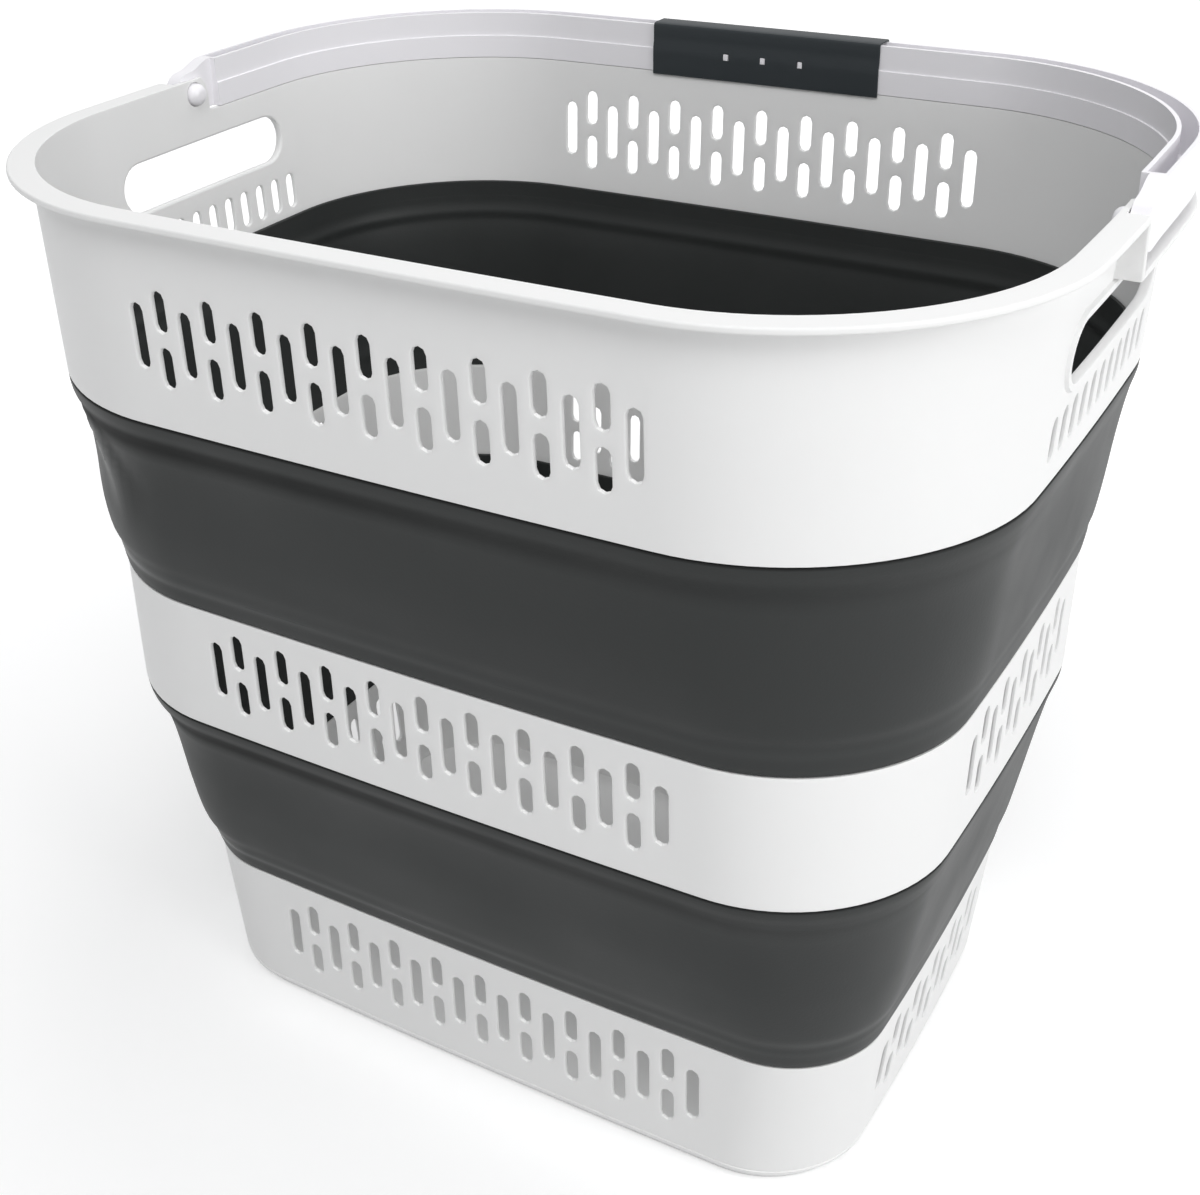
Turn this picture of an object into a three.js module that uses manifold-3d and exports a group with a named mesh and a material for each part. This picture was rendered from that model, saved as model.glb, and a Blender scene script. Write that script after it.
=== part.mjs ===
// Collapsible laundry hamper: a tray, a middle band and a rim band of rigid slotted plastic, joined by two
// folding rubber sleeves, with a hinged half-ring carry bail and its soft grip.
// Millimetres, +Z up. The origin is on the floor under the middle of the tray, and the front faces -Y.
import * as THREE from "three";
import { mergeVertices } from "three/addons/utils/BufferGeometryUtils.js";
import Module from "manifold-3d";

const wasm = await Module();
wasm.setup();

// Heights of the bands and sleeves, stacked from the floor up
const trayHeight = 70.5;
const lowerSleeveHeight = 103.1;
const middleHeight = 60.6;
const upperSleeveHeight = 93.6;
const rimHeight = 87.7;

// Plan of the outer wall at the foot, the two edges of each band and the rim
const footHalfWidth = 166.5;
const footHalfDepth = 115;
const footCorner = 45.4;
const trayTopHalfWidth = 173.9;
const trayTopHalfDepth = 115.8;
const trayTopCorner = 43.2;
const middleBottomHalfWidth = 195;
const middleBottomHalfDepth = 145.4;
const middleBottomCorner = 69.8;
const middleTopHalfWidth = 197.2;
const middleTopHalfDepth = 147;
const middleTopCorner = 74.2;
const rimBottomHalfWidth = 211.5;
const rimBottomHalfDepth = 165;
const rimBottomCorner = 97;
const rimTopHalfWidth = 216.6;
const rimTopHalfDepth = 168.4;
const rimTopCorner = 104;

// Outward bow of the sides, as shares of the half width and half depth
const sideBowShare = 0.021;
const frontBowShare = 0.0215;

// Rigid walls
const wallThickness = 2.5;
const pieceGap = 0.3;

// Ventilation slots, in columns of one long slot between columns of two short ones
const slotPitch = 24;
const slotWidth = 5;
const longSlotHeight = 27;
const shortSlotHeight = 17;
const shortSlotSpacing = 24;
const frontSlotColumns = 10;
const sideSlotColumns = 6;
const trayRowHeight = 40.4;
const middleRowHeight = 32.3;
const rimRowHeight = 38;
const rimSideRowHeight = 19.3;
const rimSideSlots = 11;

// Foot and floor of the tray
const footInset = 4;
const footRimWidth = 2;
const footRimHeight = 2.8;
const footFilletHeight = 4.4;
const floorHeight = 3;
const floorThickness = 2.4;

// Flange round the front of the rim, and the lower flange behind the risers
const flangeReach = 9;
const flangeRoot = 2;
const flangeThickness = 2.7;
const flangeEdgeRadius = 0.9;
const backFlangeDrop = 21.1;
const backFlangeThickness = 2.4;
const backWallDrop = 15.8;
const riserThickness = 2.2;

// Hand hole in each side, with its raised frame
const handHoleLength = 115;
const handHoleHeight = 22.4;
const handHoleDrop = 39.5;
const handFrameWidth = 4.8;
const handFrameHeight = 1.5;

// Pivot of the carry bail: a snap stud on each arm, in a hole through the rim's side
const pivotDrop = 6.7;
const pivotHoleRadius = 5.4;
const earRadius = 9;
const studClearance = 0.6;
const studReach = 4.5;
const studDomeHeight = 2;
const studRoot = 2;

// Carry bail: an open channel over the back rim, with a cheek outside each pivot
const bailInset = 3.3;
const bailWidth = 10.7;
const bailHeight = 22.5;
const bailWall = 1.8;
const bailFloor = 3;
const bailStepDrop = 11.5;
const bailStepDepth = 0.7;
const bailEndPlace = 16;
const cheekGap = 0.4;
const cheekRadius = 11.3;
const riserClearance = 0.5;

// Soft grip over the middle of the bail, with windows over the bail's raised squares
const gripHalfLength = 60;
const gripSkin = 0.9;
const gripOverhang = 1.4;
const squareSpacing = 19.5;
const squareWidth = 2.5;
const squareHeight = 3;
const squareDrop = 12.5;
const squareCount = 3;

// Folding sleeves: ledges under and over the bands, a set-in panel between, and a lip inside the upper band
const sleeveThickness = 2.2;
const sleeveLedge = 12;
const sleeveStepHeight = 3.5;
const sleevePanelInset = 1.8;
const sleeveFootSwell = 1.4;
const sleeveLipHeight = 7.2;
const sleeveLipThickness = 1.5;

// Facets of the walls, round corners and cuts. The straight runs break between columns of slots.
const cornerSteps = 6;
const frontBreakShares = [5.5, 1.5];
const sideBreakShares = [2.5];
const frontRunShares = [0.9, 0.3];
const sideRunShares = [0.8];
const slotEndSteps = 3;
const handHoleEndSteps = 6;
const pivotSides = 16;
const domeSteps = 3;
const earSteps = 5;
const cheekSteps = 9;
const cheekTopTurnShare = 7 / 18;
const cutOverrun = 40;

const trayTop = trayHeight;
const middleBottom = trayTop + lowerSleeveHeight;
const middleTop = middleBottom + middleHeight;
const rimBottom = middleTop + upperSleeveHeight;
const rimTop = rimBottom + rimHeight;
const backFlangeTop = rimTop - backFlangeDrop;
const backWallTop = rimTop - backWallDrop;
const pivotHeight = rimTop - pivotDrop;
const riserRear = -cheekRadius - riserClearance;
const riserFront = riserRear - riserThickness;
const bailBottom = backWallTop + pieceGap;
const bailTop = bailBottom + bailHeight;
const bailOuter = bailWidth - bailInset;
const cutReach = rimTopHalfWidth + flangeReach + cutOverrun;

// Plan of the outer wall at each edge, from the foot up
const stations = [
  { height: 0, halfWidth: footHalfWidth, halfDepth: footHalfDepth, corner: footCorner },
  { height: trayTop, halfWidth: trayTopHalfWidth, halfDepth: trayTopHalfDepth, corner: trayTopCorner },
  { height: middleBottom, halfWidth: middleBottomHalfWidth, halfDepth: middleBottomHalfDepth,
    corner: middleBottomCorner },
  { height: middleTop, halfWidth: middleTopHalfWidth, halfDepth: middleTopHalfDepth,
    corner: middleTopCorner },
  { height: rimBottom, halfWidth: rimBottomHalfWidth, halfDepth: rimBottomHalfDepth,
    corner: rimBottomCorner },
  { height: rimTop, halfWidth: rimTopHalfWidth, halfDepth: rimTopHalfDepth, corner: rimTopCorner },
];
const rimPlan = stations[stations.length - 1];

// Plan of the outer wall at any height, straight between the edges
function planAt(height) {
  let upper = 1;
  while (upper < stations.length - 1 && height > stations[upper].height) upper++;
  const low = stations[upper - 1];
  const high = stations[upper];
  const share = (height - low.height) / (high.height - low.height);
  const between = (key) => low[key] + share * (high[key] - low[key]);
  return { halfWidth: between("halfWidth"), halfDepth: between("halfDepth"), corner: between("corner") };
}

// One closed ring, counted anticlockwise from above: bowed sides with round corners, grown by an offset
function ringOf(plan, offset, height) {
  const halfWidth = plan.halfWidth + offset;
  const halfDepth = plan.halfDepth + offset;
  const corner = plan.corner + offset;
  const column = slotPitch / 2;
  const sideRun = halfDepth - corner;
  const frontRun = halfWidth - corner;
  const quarter = [];
  sideBreakShares.forEach((share, i) => {
    quarter.push([halfWidth, Math.min(share * column, sideRunShares[i] * sideRun)]);
  });
  for (let step = 0; step <= cornerSteps; step++) {
    const angle = (Math.PI / 2) * (step / cornerSteps);
    quarter.push([frontRun + corner * Math.cos(angle), sideRun + corner * Math.sin(angle)]);
  }
  frontBreakShares.forEach((share, i) => {
    quarter.push([Math.min(share * column, frontRunShares[i] * frontRun), halfDepth]);
  });
  const mirrored = quarter.slice().reverse();
  const flat = [
    ...quarter,
    ...mirrored.map(([x, y]) => [-x, y]),
    ...quarter.map(([x, y]) => [-x, -y]),
    ...mirrored.map(([x, y]) => [x, -y]),
  ];
  return flat.map(([x, y]) => new THREE.Vector3(
    x * (1 - sideBowShare * (y / halfDepth) ** 2),
    y * (1 - frontBowShare * (x / halfWidth) ** 2),
    height,
  ));
}

// Skin through rings of the same count. A closed skin joins its last ring to its first; an open one gets flat
// ends, the first facing down and the last facing up.
function skinOf(rings, closed) {
  const count = rings[0].length;
  const positions = [];
  const index = [];
  rings.forEach((ring) => ring.forEach((point) => positions.push(point.x, point.y, point.z)));
  const bands = closed ? rings.length : rings.length - 1;
  for (let level = 0; level < bands; level++) {
    const here = level * count;
    const next = ((level + 1) % rings.length) * count;
    for (let k = 0; k < count; k++) {
      const after = (k + 1) % count;
      index.push(here + k, here + after, next + after);
      index.push(here + k, next + after, next + k);
    }
  }
  if (!closed) {
    const last = (rings.length - 1) * count;
    const centre = positions.length / 3;
    positions.push(0, 0, rings[0][0].z, 0, 0, rings[rings.length - 1][0].z);
    for (let k = 0; k < count; k++) {
      const after = (k + 1) % count;
      index.push(centre, after, k);
      index.push(centre + 1, last + k, last + after);
    }
  }
  const geometry = new THREE.BufferGeometry();
  geometry.setAttribute("position", new THREE.Float32BufferAttribute(positions, 3));
  geometry.setIndex(index);
  return geometry;
}

// A closed geometry as a solid that can be joined and cut
function solidOf(geometry) {
  geometry.deleteAttribute("normal");
  geometry.deleteAttribute("uv");
  const merged = mergeVertices(geometry);
  return new wasm.Manifold(new wasm.Mesh({
    numProp: 3,
    vertProperties: new Float32Array(merged.attributes.position.array),
    triVerts: new Uint32Array(merged.index.array),
  }));
}

// A solid as one named sub-part
function pieceOf(name, solid, material) {
  const { vertProperties, triVerts } = solid.getMesh();
  const indexed = new THREE.BufferGeometry();
  indexed.setAttribute("position", new THREE.BufferAttribute(vertProperties, 3));
  indexed.setIndex(new THREE.BufferAttribute(triVerts, 1));
  const geometry = indexed.toNonIndexed();
  geometry.computeVertexNormals();
  const piece = new THREE.Mesh(geometry, material);
  piece.name = name;
  return piece;
}

// Closed skin through a section given as [offset, height] pairs: up the outside, then down the inside
function sweptWall(section, plan) {
  const rings = section.map(([offset, height]) => ringOf(plan ?? planAt(height), offset, height));
  return solidOf(skinOf(rings, true));
}

function boxBetween(low, high) {
  const size = new THREE.Vector3().subVectors(high, low);
  const centre = new THREE.Vector3().addVectors(low, high).multiplyScalar(0.5);
  const geometry = new THREE.BoxGeometry(size.x, size.y, size.z);
  geometry.translate(centre.x, centre.y, centre.z);
  return solidOf(geometry);
}

// Slab between two places along Y, wide and tall enough to hold any slice of the hamper
function sliceBetween(front, rear) {
  const low = new THREE.Vector3(-cutReach, front, -cutReach);
  return boxBetween(low, new THREE.Vector3(cutReach, rear, rimTop + cutReach));
}

// Outlines drawn in (Y, Z) and run along X through both sides
function prismAlongX(outlines) {
  const geometry = new THREE.ExtrudeGeometry(outlines, { depth: 2 * cutReach, bevelEnabled: false });
  geometry.translate(0, 0, -cutReach);
  geometry.applyMatrix4(new THREE.Matrix4().makeBasis(
    new THREE.Vector3(0, 1, 0), new THREE.Vector3(0, 0, 1), new THREE.Vector3(1, 0, 0)));
  return solidOf(geometry);
}

// Outlines drawn in (X, Z) and run along Y through the front and the back
function prismAlongY(outlines) {
  const geometry = new THREE.ExtrudeGeometry(outlines, { depth: 2 * cutReach, bevelEnabled: false });
  geometry.translate(0, 0, -cutReach);
  geometry.applyMatrix4(new THREE.Matrix4().makeBasis(
    new THREE.Vector3(1, 0, 0), new THREE.Vector3(0, 0, 1), new THREE.Vector3(0, -1, 0)));
  return solidOf(geometry);
}

// Straight outline with two half-round ends, upright or lying by whichever size is larger
function roundEnded(centreU, centreV, sizeU, sizeV, endSteps) {
  const upright = sizeV > sizeU;
  const radius = Math.min(sizeU, sizeV) / 2;
  const straight = Math.abs(sizeV - sizeU) / 2;
  const points = [];
  for (const half of [0, 1]) {
    const shift = half === 0 ? straight : -straight;
    for (let step = 0; step <= endSteps; step++) {
      const angle = Math.PI * (half + step / endSteps) - (upright ? 0 : Math.PI / 2);
      points.push(new THREE.Vector2(
        centreU + (upright ? 0 : shift) + radius * Math.cos(angle),
        centreV + (upright ? shift : 0) + radius * Math.sin(angle),
      ));
    }
  }
  return new THREE.Shape(points);
}

// A row of slots: long ones in every column, and pairs of short ones between the columns
function slotRow(columns, height) {
  const outlines = [];
  for (let i = 0; i < columns; i++) {
    const place = (i - (columns - 1) / 2) * slotPitch;
    outlines.push(roundEnded(place, height, slotWidth, longSlotHeight, slotEndSteps));
  }
  for (let i = 0; i < columns - 1; i++) {
    const place = (i - (columns - 2) / 2) * slotPitch;
    for (const side of [-1, 1]) {
      const centre = height + (side * shortSlotSpacing) / 2;
      outlines.push(roundEnded(place, centre, slotWidth, shortSlotHeight, slotEndSteps));
    }
  }
  return outlines;
}

// The single row of short slots under each hand hole
function rimSideRow() {
  const outlines = [];
  for (let i = 0; i < rimSideSlots; i++) {
    const place = ((i - (rimSideSlots - 1) / 2) * slotPitch) / 2;
    const centre = rimBottom + rimSideRowHeight;
    outlines.push(roundEnded(place, centre, slotWidth, shortSlotHeight, slotEndSteps));
  }
  return outlines;
}

function cutSlots(wall, rowHeight, sideOutlines) {
  return wall
    .subtract(prismAlongY(slotRow(frontSlotColumns, rowHeight)))
    .subtract(prismAlongX(sideOutlines));
}

function baseTray(material) {
  const footOuter = -footInset;
  const footInner = footOuter - footRimWidth;
  const floorTop = floorHeight + floorThickness;
  const wallFoot = footRimHeight + footFilletHeight;
  const profile = [
    [footInner, floorHeight],
    [footInner, 0],
    [footOuter, 0],
    [footOuter, footRimHeight],
    [0, wallFoot],
    [0, trayTop],
    [-wallThickness, trayTop],
    [-wallThickness, wallFoot + floorThickness],
    [footOuter - wallThickness, floorTop],
  ];
  const shell = solidOf(skinOf(
    profile.map(([offset, height]) => ringOf(planAt(height), offset, height)), false));
  const solid = cutSlots(shell, trayRowHeight, slotRow(sideSlotColumns, trayRowHeight));
  return pieceOf("base_tray", solid, material);
}

function middleBand(material) {
  const shell = sweptWall([
    [0, middleBottom],
    [0, middleTop],
    [-wallThickness, middleTop],
    [-wallThickness, middleBottom],
  ]);
  const row = middleBottom + middleRowHeight;
  return pieceOf("middle_band", cutSlots(shell, row, slotRow(sideSlotColumns, row)), material);
}

// Sleeve between the top edge of one band and the bottom edge of the next
function sleeve(name, bottom, top, material) {
  const seat = bottom + pieceGap;
  const shoulder = top - pieceGap;
  const footInner = sleeveFootSwell - sleeveThickness - wallThickness / 2;
  const panelInner = -sleevePanelInset - sleeveThickness;
  const lipOuter = -wallThickness - pieceGap;
  const lipInner = lipOuter - sleeveLipThickness;
  const solid = sweptWall([
    [sleeveFootSwell, seat],
    [sleeveFootSwell, bottom + sleeveLedge],
    [-sleevePanelInset, bottom + sleeveLedge + sleeveStepHeight],
    [-sleevePanelInset, top - sleeveLedge - sleeveStepHeight],
    [0, top - sleeveLedge],
    [0, shoulder],
    [lipOuter, shoulder],
    [lipOuter, top + sleeveLipHeight],
    [lipInner, top + sleeveLipHeight],
    [lipInner, top - sleeveLedge],
    [panelInner, top - sleeveLedge - sleeveStepHeight],
    [panelInner, bottom + sleeveLedge + sleeveStepHeight],
    [footInner, bottom + sleeveLedge],
    [footInner, seat],
  ]);
  return pieceOf(name, solid, material);
}

// Wall above the back half's top edge, but for the round ear that carries each pivot hole
function backWallCut() {
  const above = rimTop + cutOverrun;
  const points = [new THREE.Vector2(0, above)];
  for (let step = 0; step <= earSteps; step++) {
    const angle = (Math.PI / 2) * (1 - step / earSteps);
    points.push(new THREE.Vector2(earRadius * Math.cos(angle), pivotHeight + earRadius * Math.sin(angle)));
  }
  points.push(new THREE.Vector2(earRadius, backWallTop));
  points.push(new THREE.Vector2(cutReach, backWallTop));
  points.push(new THREE.Vector2(cutReach, above));
  return prismAlongX([new THREE.Shape(points)]);
}

function pivotHoles() {
  const bore = new THREE.CylinderGeometry(pivotHoleRadius, pivotHoleRadius, 2 * cutReach, pivotSides);
  bore.rotateZ(Math.PI / 2);
  bore.translate(0, 0, pivotHeight);
  return solidOf(bore);
}

// Flange section with its two outer edges eased
function flangeSection(bottom, top) {
  return [
    [flangeReach - flangeEdgeRadius, bottom],
    [flangeReach, bottom + flangeEdgeRadius],
    [flangeReach, top - flangeEdgeRadius],
    [flangeReach - flangeEdgeRadius, top],
    [-flangeRoot, top],
    [-flangeRoot, bottom],
  ];
}

function rimBand(material) {
  const shell = sweptWall([
    [0, rimBottom],
    [0, rimTop],
    [-wallThickness, rimTop],
    [-wallThickness, rimBottom],
  ]);
  const backFlangeBottom = backFlangeTop - backFlangeThickness;
  const frontFlange = sweptWall(flangeSection(rimTop - flangeThickness, rimTop), rimPlan)
    .intersect(sliceBetween(-cutReach, riserRear));
  const risers = sweptWall(flangeSection(backFlangeBottom, rimTop), rimPlan)
    .intersect(sliceBetween(riserFront, riserRear));
  const backFlange = sweptWall(flangeSection(backFlangeBottom, backFlangeTop), rimPlan)
    .intersect(sliceBetween(riserFront, cutReach));

  const holeHeight = rimTop - handHoleDrop;
  const frameHalfHeight = handHoleHeight / 2 + handFrameWidth;
  const frameBottom = holeHeight - frameHalfHeight;
  const frameTop = holeHeight + frameHalfHeight;
  const frameLength = handHoleLength + 2 * handFrameWidth;
  const frames = sweptWall([
    [handFrameHeight, frameBottom],
    [handFrameHeight, frameTop],
    [-wallThickness / 2, frameTop],
    [-wallThickness / 2, frameBottom],
  ]).intersect(prismAlongX([roundEnded(0, holeHeight, frameLength, 2 * frameHalfHeight, handHoleEndSteps)]));
  const handHoles = prismAlongX([
    roundEnded(0, holeHeight, handHoleLength, handHoleHeight, handHoleEndSteps)]);

  const solid = cutSlots(shell.subtract(backWallCut()), rimBottom + rimRowHeight, rimSideRow())
    .add(frontFlange)
    .add(risers)
    .add(backFlange)
    .add(frames)
    .subtract(handHoles)
    .subtract(pivotHoles());
  return pieceOf("rim_band", solid, material);
}

// Open channel of the bail, all the way round: outer wall, floor, and inner wall with its step
function bailChannel() {
  const floorTop = bailBottom + bailFloor;
  const step = bailTop - bailStepDrop;
  const innerFace = -bailInset;
  const upperFace = innerFace + bailStepDepth;
  return sweptWall([
    [bailOuter, bailBottom],
    [bailOuter, bailTop],
    [bailOuter - bailWall, bailTop],
    [bailOuter - bailWall, floorTop],
    [upperFace + bailWall, floorTop],
    [upperFace + bailWall, bailTop],
    [upperFace, bailTop],
    [upperFace, step],
    [innerFace, step],
    [innerFace, bailBottom],
  ], rimPlan);
}

// Outline of a cheek in (Y, Z): round about the pivot, rising to the top of the channel behind it
function cheekOutline() {
  const rear = bailEndPlace + bailWall;
  const points = [];
  const start = Math.PI * cheekTopTurnShare;
  const sweep = 1.5 * Math.PI - start;
  for (let step = 0; step <= cheekSteps; step++) {
    const angle = start + sweep * (step / cheekSteps);
    points.push(new THREE.Vector2(
      cheekRadius * Math.cos(angle), pivotHeight + cheekRadius * Math.sin(angle)));
  }
  points.push(new THREE.Vector2(rear, pivotHeight - cheekRadius));
  points.push(new THREE.Vector2(rear, bailTop));
  points.push(new THREE.Vector2(bailEndPlace, bailTop));
  return new THREE.Shape(points);
}

// Domed stud along X, from inside a cheek through the rim's side to the inside of the hamper
function pivotStud(side) {
  const radius = pivotHoleRadius - studClearance;
  const root = rimTopHalfWidth + cheekGap + studRoot;
  const tip = rimTopHalfWidth - wallThickness - studReach;
  const straight = root - tip - studDomeHeight;
  const profile = [new THREE.Vector2(0, 0)];
  for (let step = 0; step < domeSteps; step++) {
    const angle = (Math.PI / 2) * (step / domeSteps);
    profile.push(new THREE.Vector2(radius * Math.cos(angle), straight + studDomeHeight * Math.sin(angle)));
  }
  profile.splice(1, 0, new THREE.Vector2(radius, 0));
  profile.push(new THREE.Vector2(0, straight + studDomeHeight));
  const stud = new THREE.LatheGeometry(profile, pivotSides);
  stud.rotateZ((side * Math.PI) / 2);
  stud.translate(side * root, 0, pivotHeight);
  return solidOf(stud);
}

// Places along X of the raised squares, and their common height
function squarePlaces() {
  return Array.from({ length: squareCount }, (_, i) => (i - (squareCount - 1) / 2) * squareSpacing);
}

// Block on the bail's inner face for one raised square, or with a gap round it for its window
function squareBlock(place, gap, innerReach, outerReach) {
  const centre = bailTop - squareDrop;
  return boxBetween(
    new THREE.Vector3(place - squareWidth / 2 - gap, innerReach, centre - squareHeight / 2 - gap),
    new THREE.Vector3(place + squareWidth / 2 + gap, outerReach, centre + squareHeight / 2 + gap),
  );
}

function carryBail(material) {
  const rearSlice = sliceBetween(bailEndPlace, cutReach);
  const endSlice = sliceBetween(bailEndPlace, bailEndPlace + bailWall);
  const block = sweptWall([
    [bailOuter, bailBottom],
    [bailOuter, bailTop],
    [-bailInset + bailStepDepth, bailTop],
    [-bailInset + bailStepDepth, bailBottom],
  ], rimPlan);
  const cheeks = sweptWall([
    [bailOuter, pivotHeight - 2 * cheekRadius],
    [bailOuter, bailTop + cheekRadius],
    [cheekGap, bailTop + cheekRadius],
    [cheekGap, pivotHeight - 2 * cheekRadius],
  ], rimPlan).intersect(prismAlongX([cheekOutline()]));
  let solid = bailChannel().intersect(rearSlice)
    .add(block.intersect(endSlice))
    .add(cheeks)
    .add(pivotStud(1))
    .add(pivotStud(-1));
  const squareInner = rimTopHalfDepth - bailInset - pieceGap - gripSkin;
  const squareOuter = rimTopHalfDepth - bailInset + bailWall;
  for (const place of squarePlaces()) {
    solid = solid.add(squareBlock(place, 0, squareInner, squareOuter));
  }
  return pieceOf("carry_bail", solid, material);
}

function bailGrip(material) {
  const outer = bailOuter + pieceGap;
  const inner = -bailInset - pieceGap;
  const ceiling = bailTop + pieceGap;
  const hem = bailBottom - gripOverhang;
  const middleSlice = boxBetween(
    new THREE.Vector3(-gripHalfLength, 0, 0),
    new THREE.Vector3(gripHalfLength, cutReach, rimTop + cutReach),
  );
  let solid = sweptWall([
    [outer + gripSkin, hem],
    [outer + gripSkin, ceiling + gripSkin],
    [inner - gripSkin, ceiling + gripSkin],
    [inner - gripSkin, hem],
    [inner, hem],
    [inner, ceiling],
    [outer, ceiling],
    [outer, hem],
  ], rimPlan).intersect(middleSlice);
  const windowInner = rimTopHalfDepth - bailInset - cutOverrun;
  const windowOuter = rimTopHalfDepth - bailInset + bailStepDepth;
  for (const place of squarePlaces()) {
    solid = solid.subtract(squareBlock(place, pieceGap, windowInner, windowOuter));
  }
  return pieceOf("bail_grip", solid, material);
}

// Finishes: white bands, a faintly cooler white bail, dark rubber sleeves and grip
const bandWhite = new THREE.MeshStandardMaterial({ color: "#f0f0ee", roughness: 0.45, metalness: 0 });
const bailWhite = new THREE.MeshStandardMaterial({ color: "#e6e3ea", roughness: 0.4, metalness: 0 });
const sleeveRubber = new THREE.MeshStandardMaterial({ color: "#45474b", roughness: 0.7, metalness: 0 });
const gripRubber = new THREE.MeshStandardMaterial({ color: "#2c3236", roughness: 0.65, metalness: 0 });

const hamper = new THREE.Group();
hamper.add(baseTray(bandWhite.clone()));
hamper.add(sleeve("lower_sleeve", trayTop, middleBottom, sleeveRubber.clone()));
hamper.add(middleBand(bandWhite.clone()));
hamper.add(sleeve("upper_sleeve", middleTop, rimBottom, sleeveRubber.clone()));
hamper.add(rimBand(bandWhite.clone()));
hamper.add(carryBail(bailWhite));
hamper.add(bailGrip(gripRubber));

export default hamper;
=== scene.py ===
"""Collapsible laundry hamper: slotted white bands, folding rubber sleeves and a hinged carry bail."""

import math

import bmesh
import bpy
from bpy.props import FloatProperty, FloatVectorProperty, IntProperty, PointerProperty
from mathutils import Matrix, Vector


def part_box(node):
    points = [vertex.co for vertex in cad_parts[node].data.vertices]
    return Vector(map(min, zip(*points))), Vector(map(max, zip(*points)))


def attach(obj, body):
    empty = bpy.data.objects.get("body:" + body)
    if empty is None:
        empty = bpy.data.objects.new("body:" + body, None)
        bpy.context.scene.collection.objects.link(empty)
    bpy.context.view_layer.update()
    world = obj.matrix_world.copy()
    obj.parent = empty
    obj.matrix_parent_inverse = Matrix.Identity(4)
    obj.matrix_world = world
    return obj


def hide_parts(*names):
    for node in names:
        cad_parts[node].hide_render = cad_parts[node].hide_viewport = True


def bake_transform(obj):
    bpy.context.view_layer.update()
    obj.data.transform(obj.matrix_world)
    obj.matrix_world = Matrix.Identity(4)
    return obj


bl_info = {
    "name": "Collapsible laundry hamper",
    "version": (1, 0, 0),
    "blender": (4, 5, 0),
    "location": "View3D > Sidebar > Hamper",
    "description": "Builds the finished surfaces of a collapsible laundry hamper round its frame",
    "category": "Add Mesh",
}

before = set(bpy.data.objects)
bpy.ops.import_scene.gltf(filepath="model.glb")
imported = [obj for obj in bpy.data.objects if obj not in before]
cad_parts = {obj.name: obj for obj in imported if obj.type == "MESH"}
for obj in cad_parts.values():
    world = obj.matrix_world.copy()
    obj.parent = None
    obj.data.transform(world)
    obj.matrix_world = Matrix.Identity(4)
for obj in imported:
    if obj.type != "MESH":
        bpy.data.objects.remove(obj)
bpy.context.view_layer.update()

TRAY_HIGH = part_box("base_tray")[1]
MIDDLE_LOW, MIDDLE_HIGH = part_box("middle_band")
RIM_LOW, RIM_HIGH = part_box("rim_band")
GRIP_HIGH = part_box("bail_grip")[1]

WELD = 0.00002
NEAR = 0.00005
FLAT = 0.9
SQUARE = math.radians(60)
SMOOTH_BELOW = math.radians(35)
TRIM_ROUND = 0.00025
FLANGE_FROM = 0.002


def number(name, description, default, **more):
    return FloatProperty(name=name, description=description, default=default, **more)


def length(name, description, default):
    return number(name, description, default, unit="LENGTH", precision=5)


def outline(name, description, default):
    return FloatVectorProperty(
        name=name, description="Half width, half depth and corner radius " + description, default=default,
        unit="LENGTH", precision=5)


def colour(name, description, default):
    return FloatVectorProperty(
        name=name, description=description, default=default, subtype="COLOR", min=0, max=1)


def whole(name, description, default):
    return IntProperty(name=name, description=description, default=default)


class HamperWalls(bpy.types.PropertyGroup):
    """Plan and thickness of the walls"""

    foot: outline("Foot", "at the floor", (0.1665, 0.115, 0.0454))
    tray_corner: length("Tray corner", "Corner radius at the tray's top", 0.0432)
    middle_foot: outline("Middle foot", "of the middle band's foot", (0.195, 0.1454, 0.0698))
    middle_corner: length("Middle corner", "Corner radius at the middle band's top", 0.0742)
    rim_foot: outline("Rim foot", "of the rim band's foot", (0.2115, 0.165, 0.097))
    rim: outline("Rim", "of the rim", (0.2166, 0.1684, 0.104))
    side_bow: number("Side bow", "Outward bow of the sides, as a share", 0.021)
    front_bow: number("Front bow", "Outward bow of front and back, as a share", 0.0215)
    wall: length("Wall", "Thickness of the walls", 0.0025)
    edge: length("Edge", "Rounding of the bands' edges", 0.0006)


class HamperSlots(bpy.types.PropertyGroup):
    """Ventilation slots"""

    column: length("Column", "Distance from one column to the next", 0.012)
    front_columns: whole("Front columns", "Columns in front and at the back", 19)
    side_columns: whole("Side columns", "Columns in each side", 11)
    width: length("Width", "Width of every slot", 0.006)
    long_height: length("Long slot", "Height of the long slots", 0.027)
    short_height: length("Short slot", "Height of the short slots", 0.017)
    cell: length("Cell", "Height of wall that a row takes", 0.046)
    outer_round: length("Outer rounding", "Rounding of the outer edges", 0.0011)
    inner_round: length("Inner rounding", "Rounding of the inner edges", 0.0009)
    tray_row: length("Tray row", "Row's middle above the floor", 0.0404)
    middle_row: length("Middle row", "Row's middle above the middle band's foot", 0.0323)
    rim_row: length("Rim row", "Row's middle above the rim band's foot", 0.038)
    rim_side_row: length("Rim side row", "Side row's middle above the rim band's foot", 0.0193)


class HamperFoot(bpy.types.PropertyGroup):
    """Foot and floor of the tray"""

    inset: length("Inset", "How far the foot stands in from the wall", 0.004)
    rim_height: length("Height", "Height of the foot rim", 0.0028)
    fillet: length("Fillet", "Height of the round into the foot", 0.0044)
    line: length("Line", "Height of the fine line above the foot", 0.008)
    line_depth: length("Line depth", "Depth of that line", 0.0004)
    floor_high: length("Floor top", "Height of the floor's top", 0.0054)
    floor_border: length("Floor border", "Width of the floor's border", 0.004)


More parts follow.
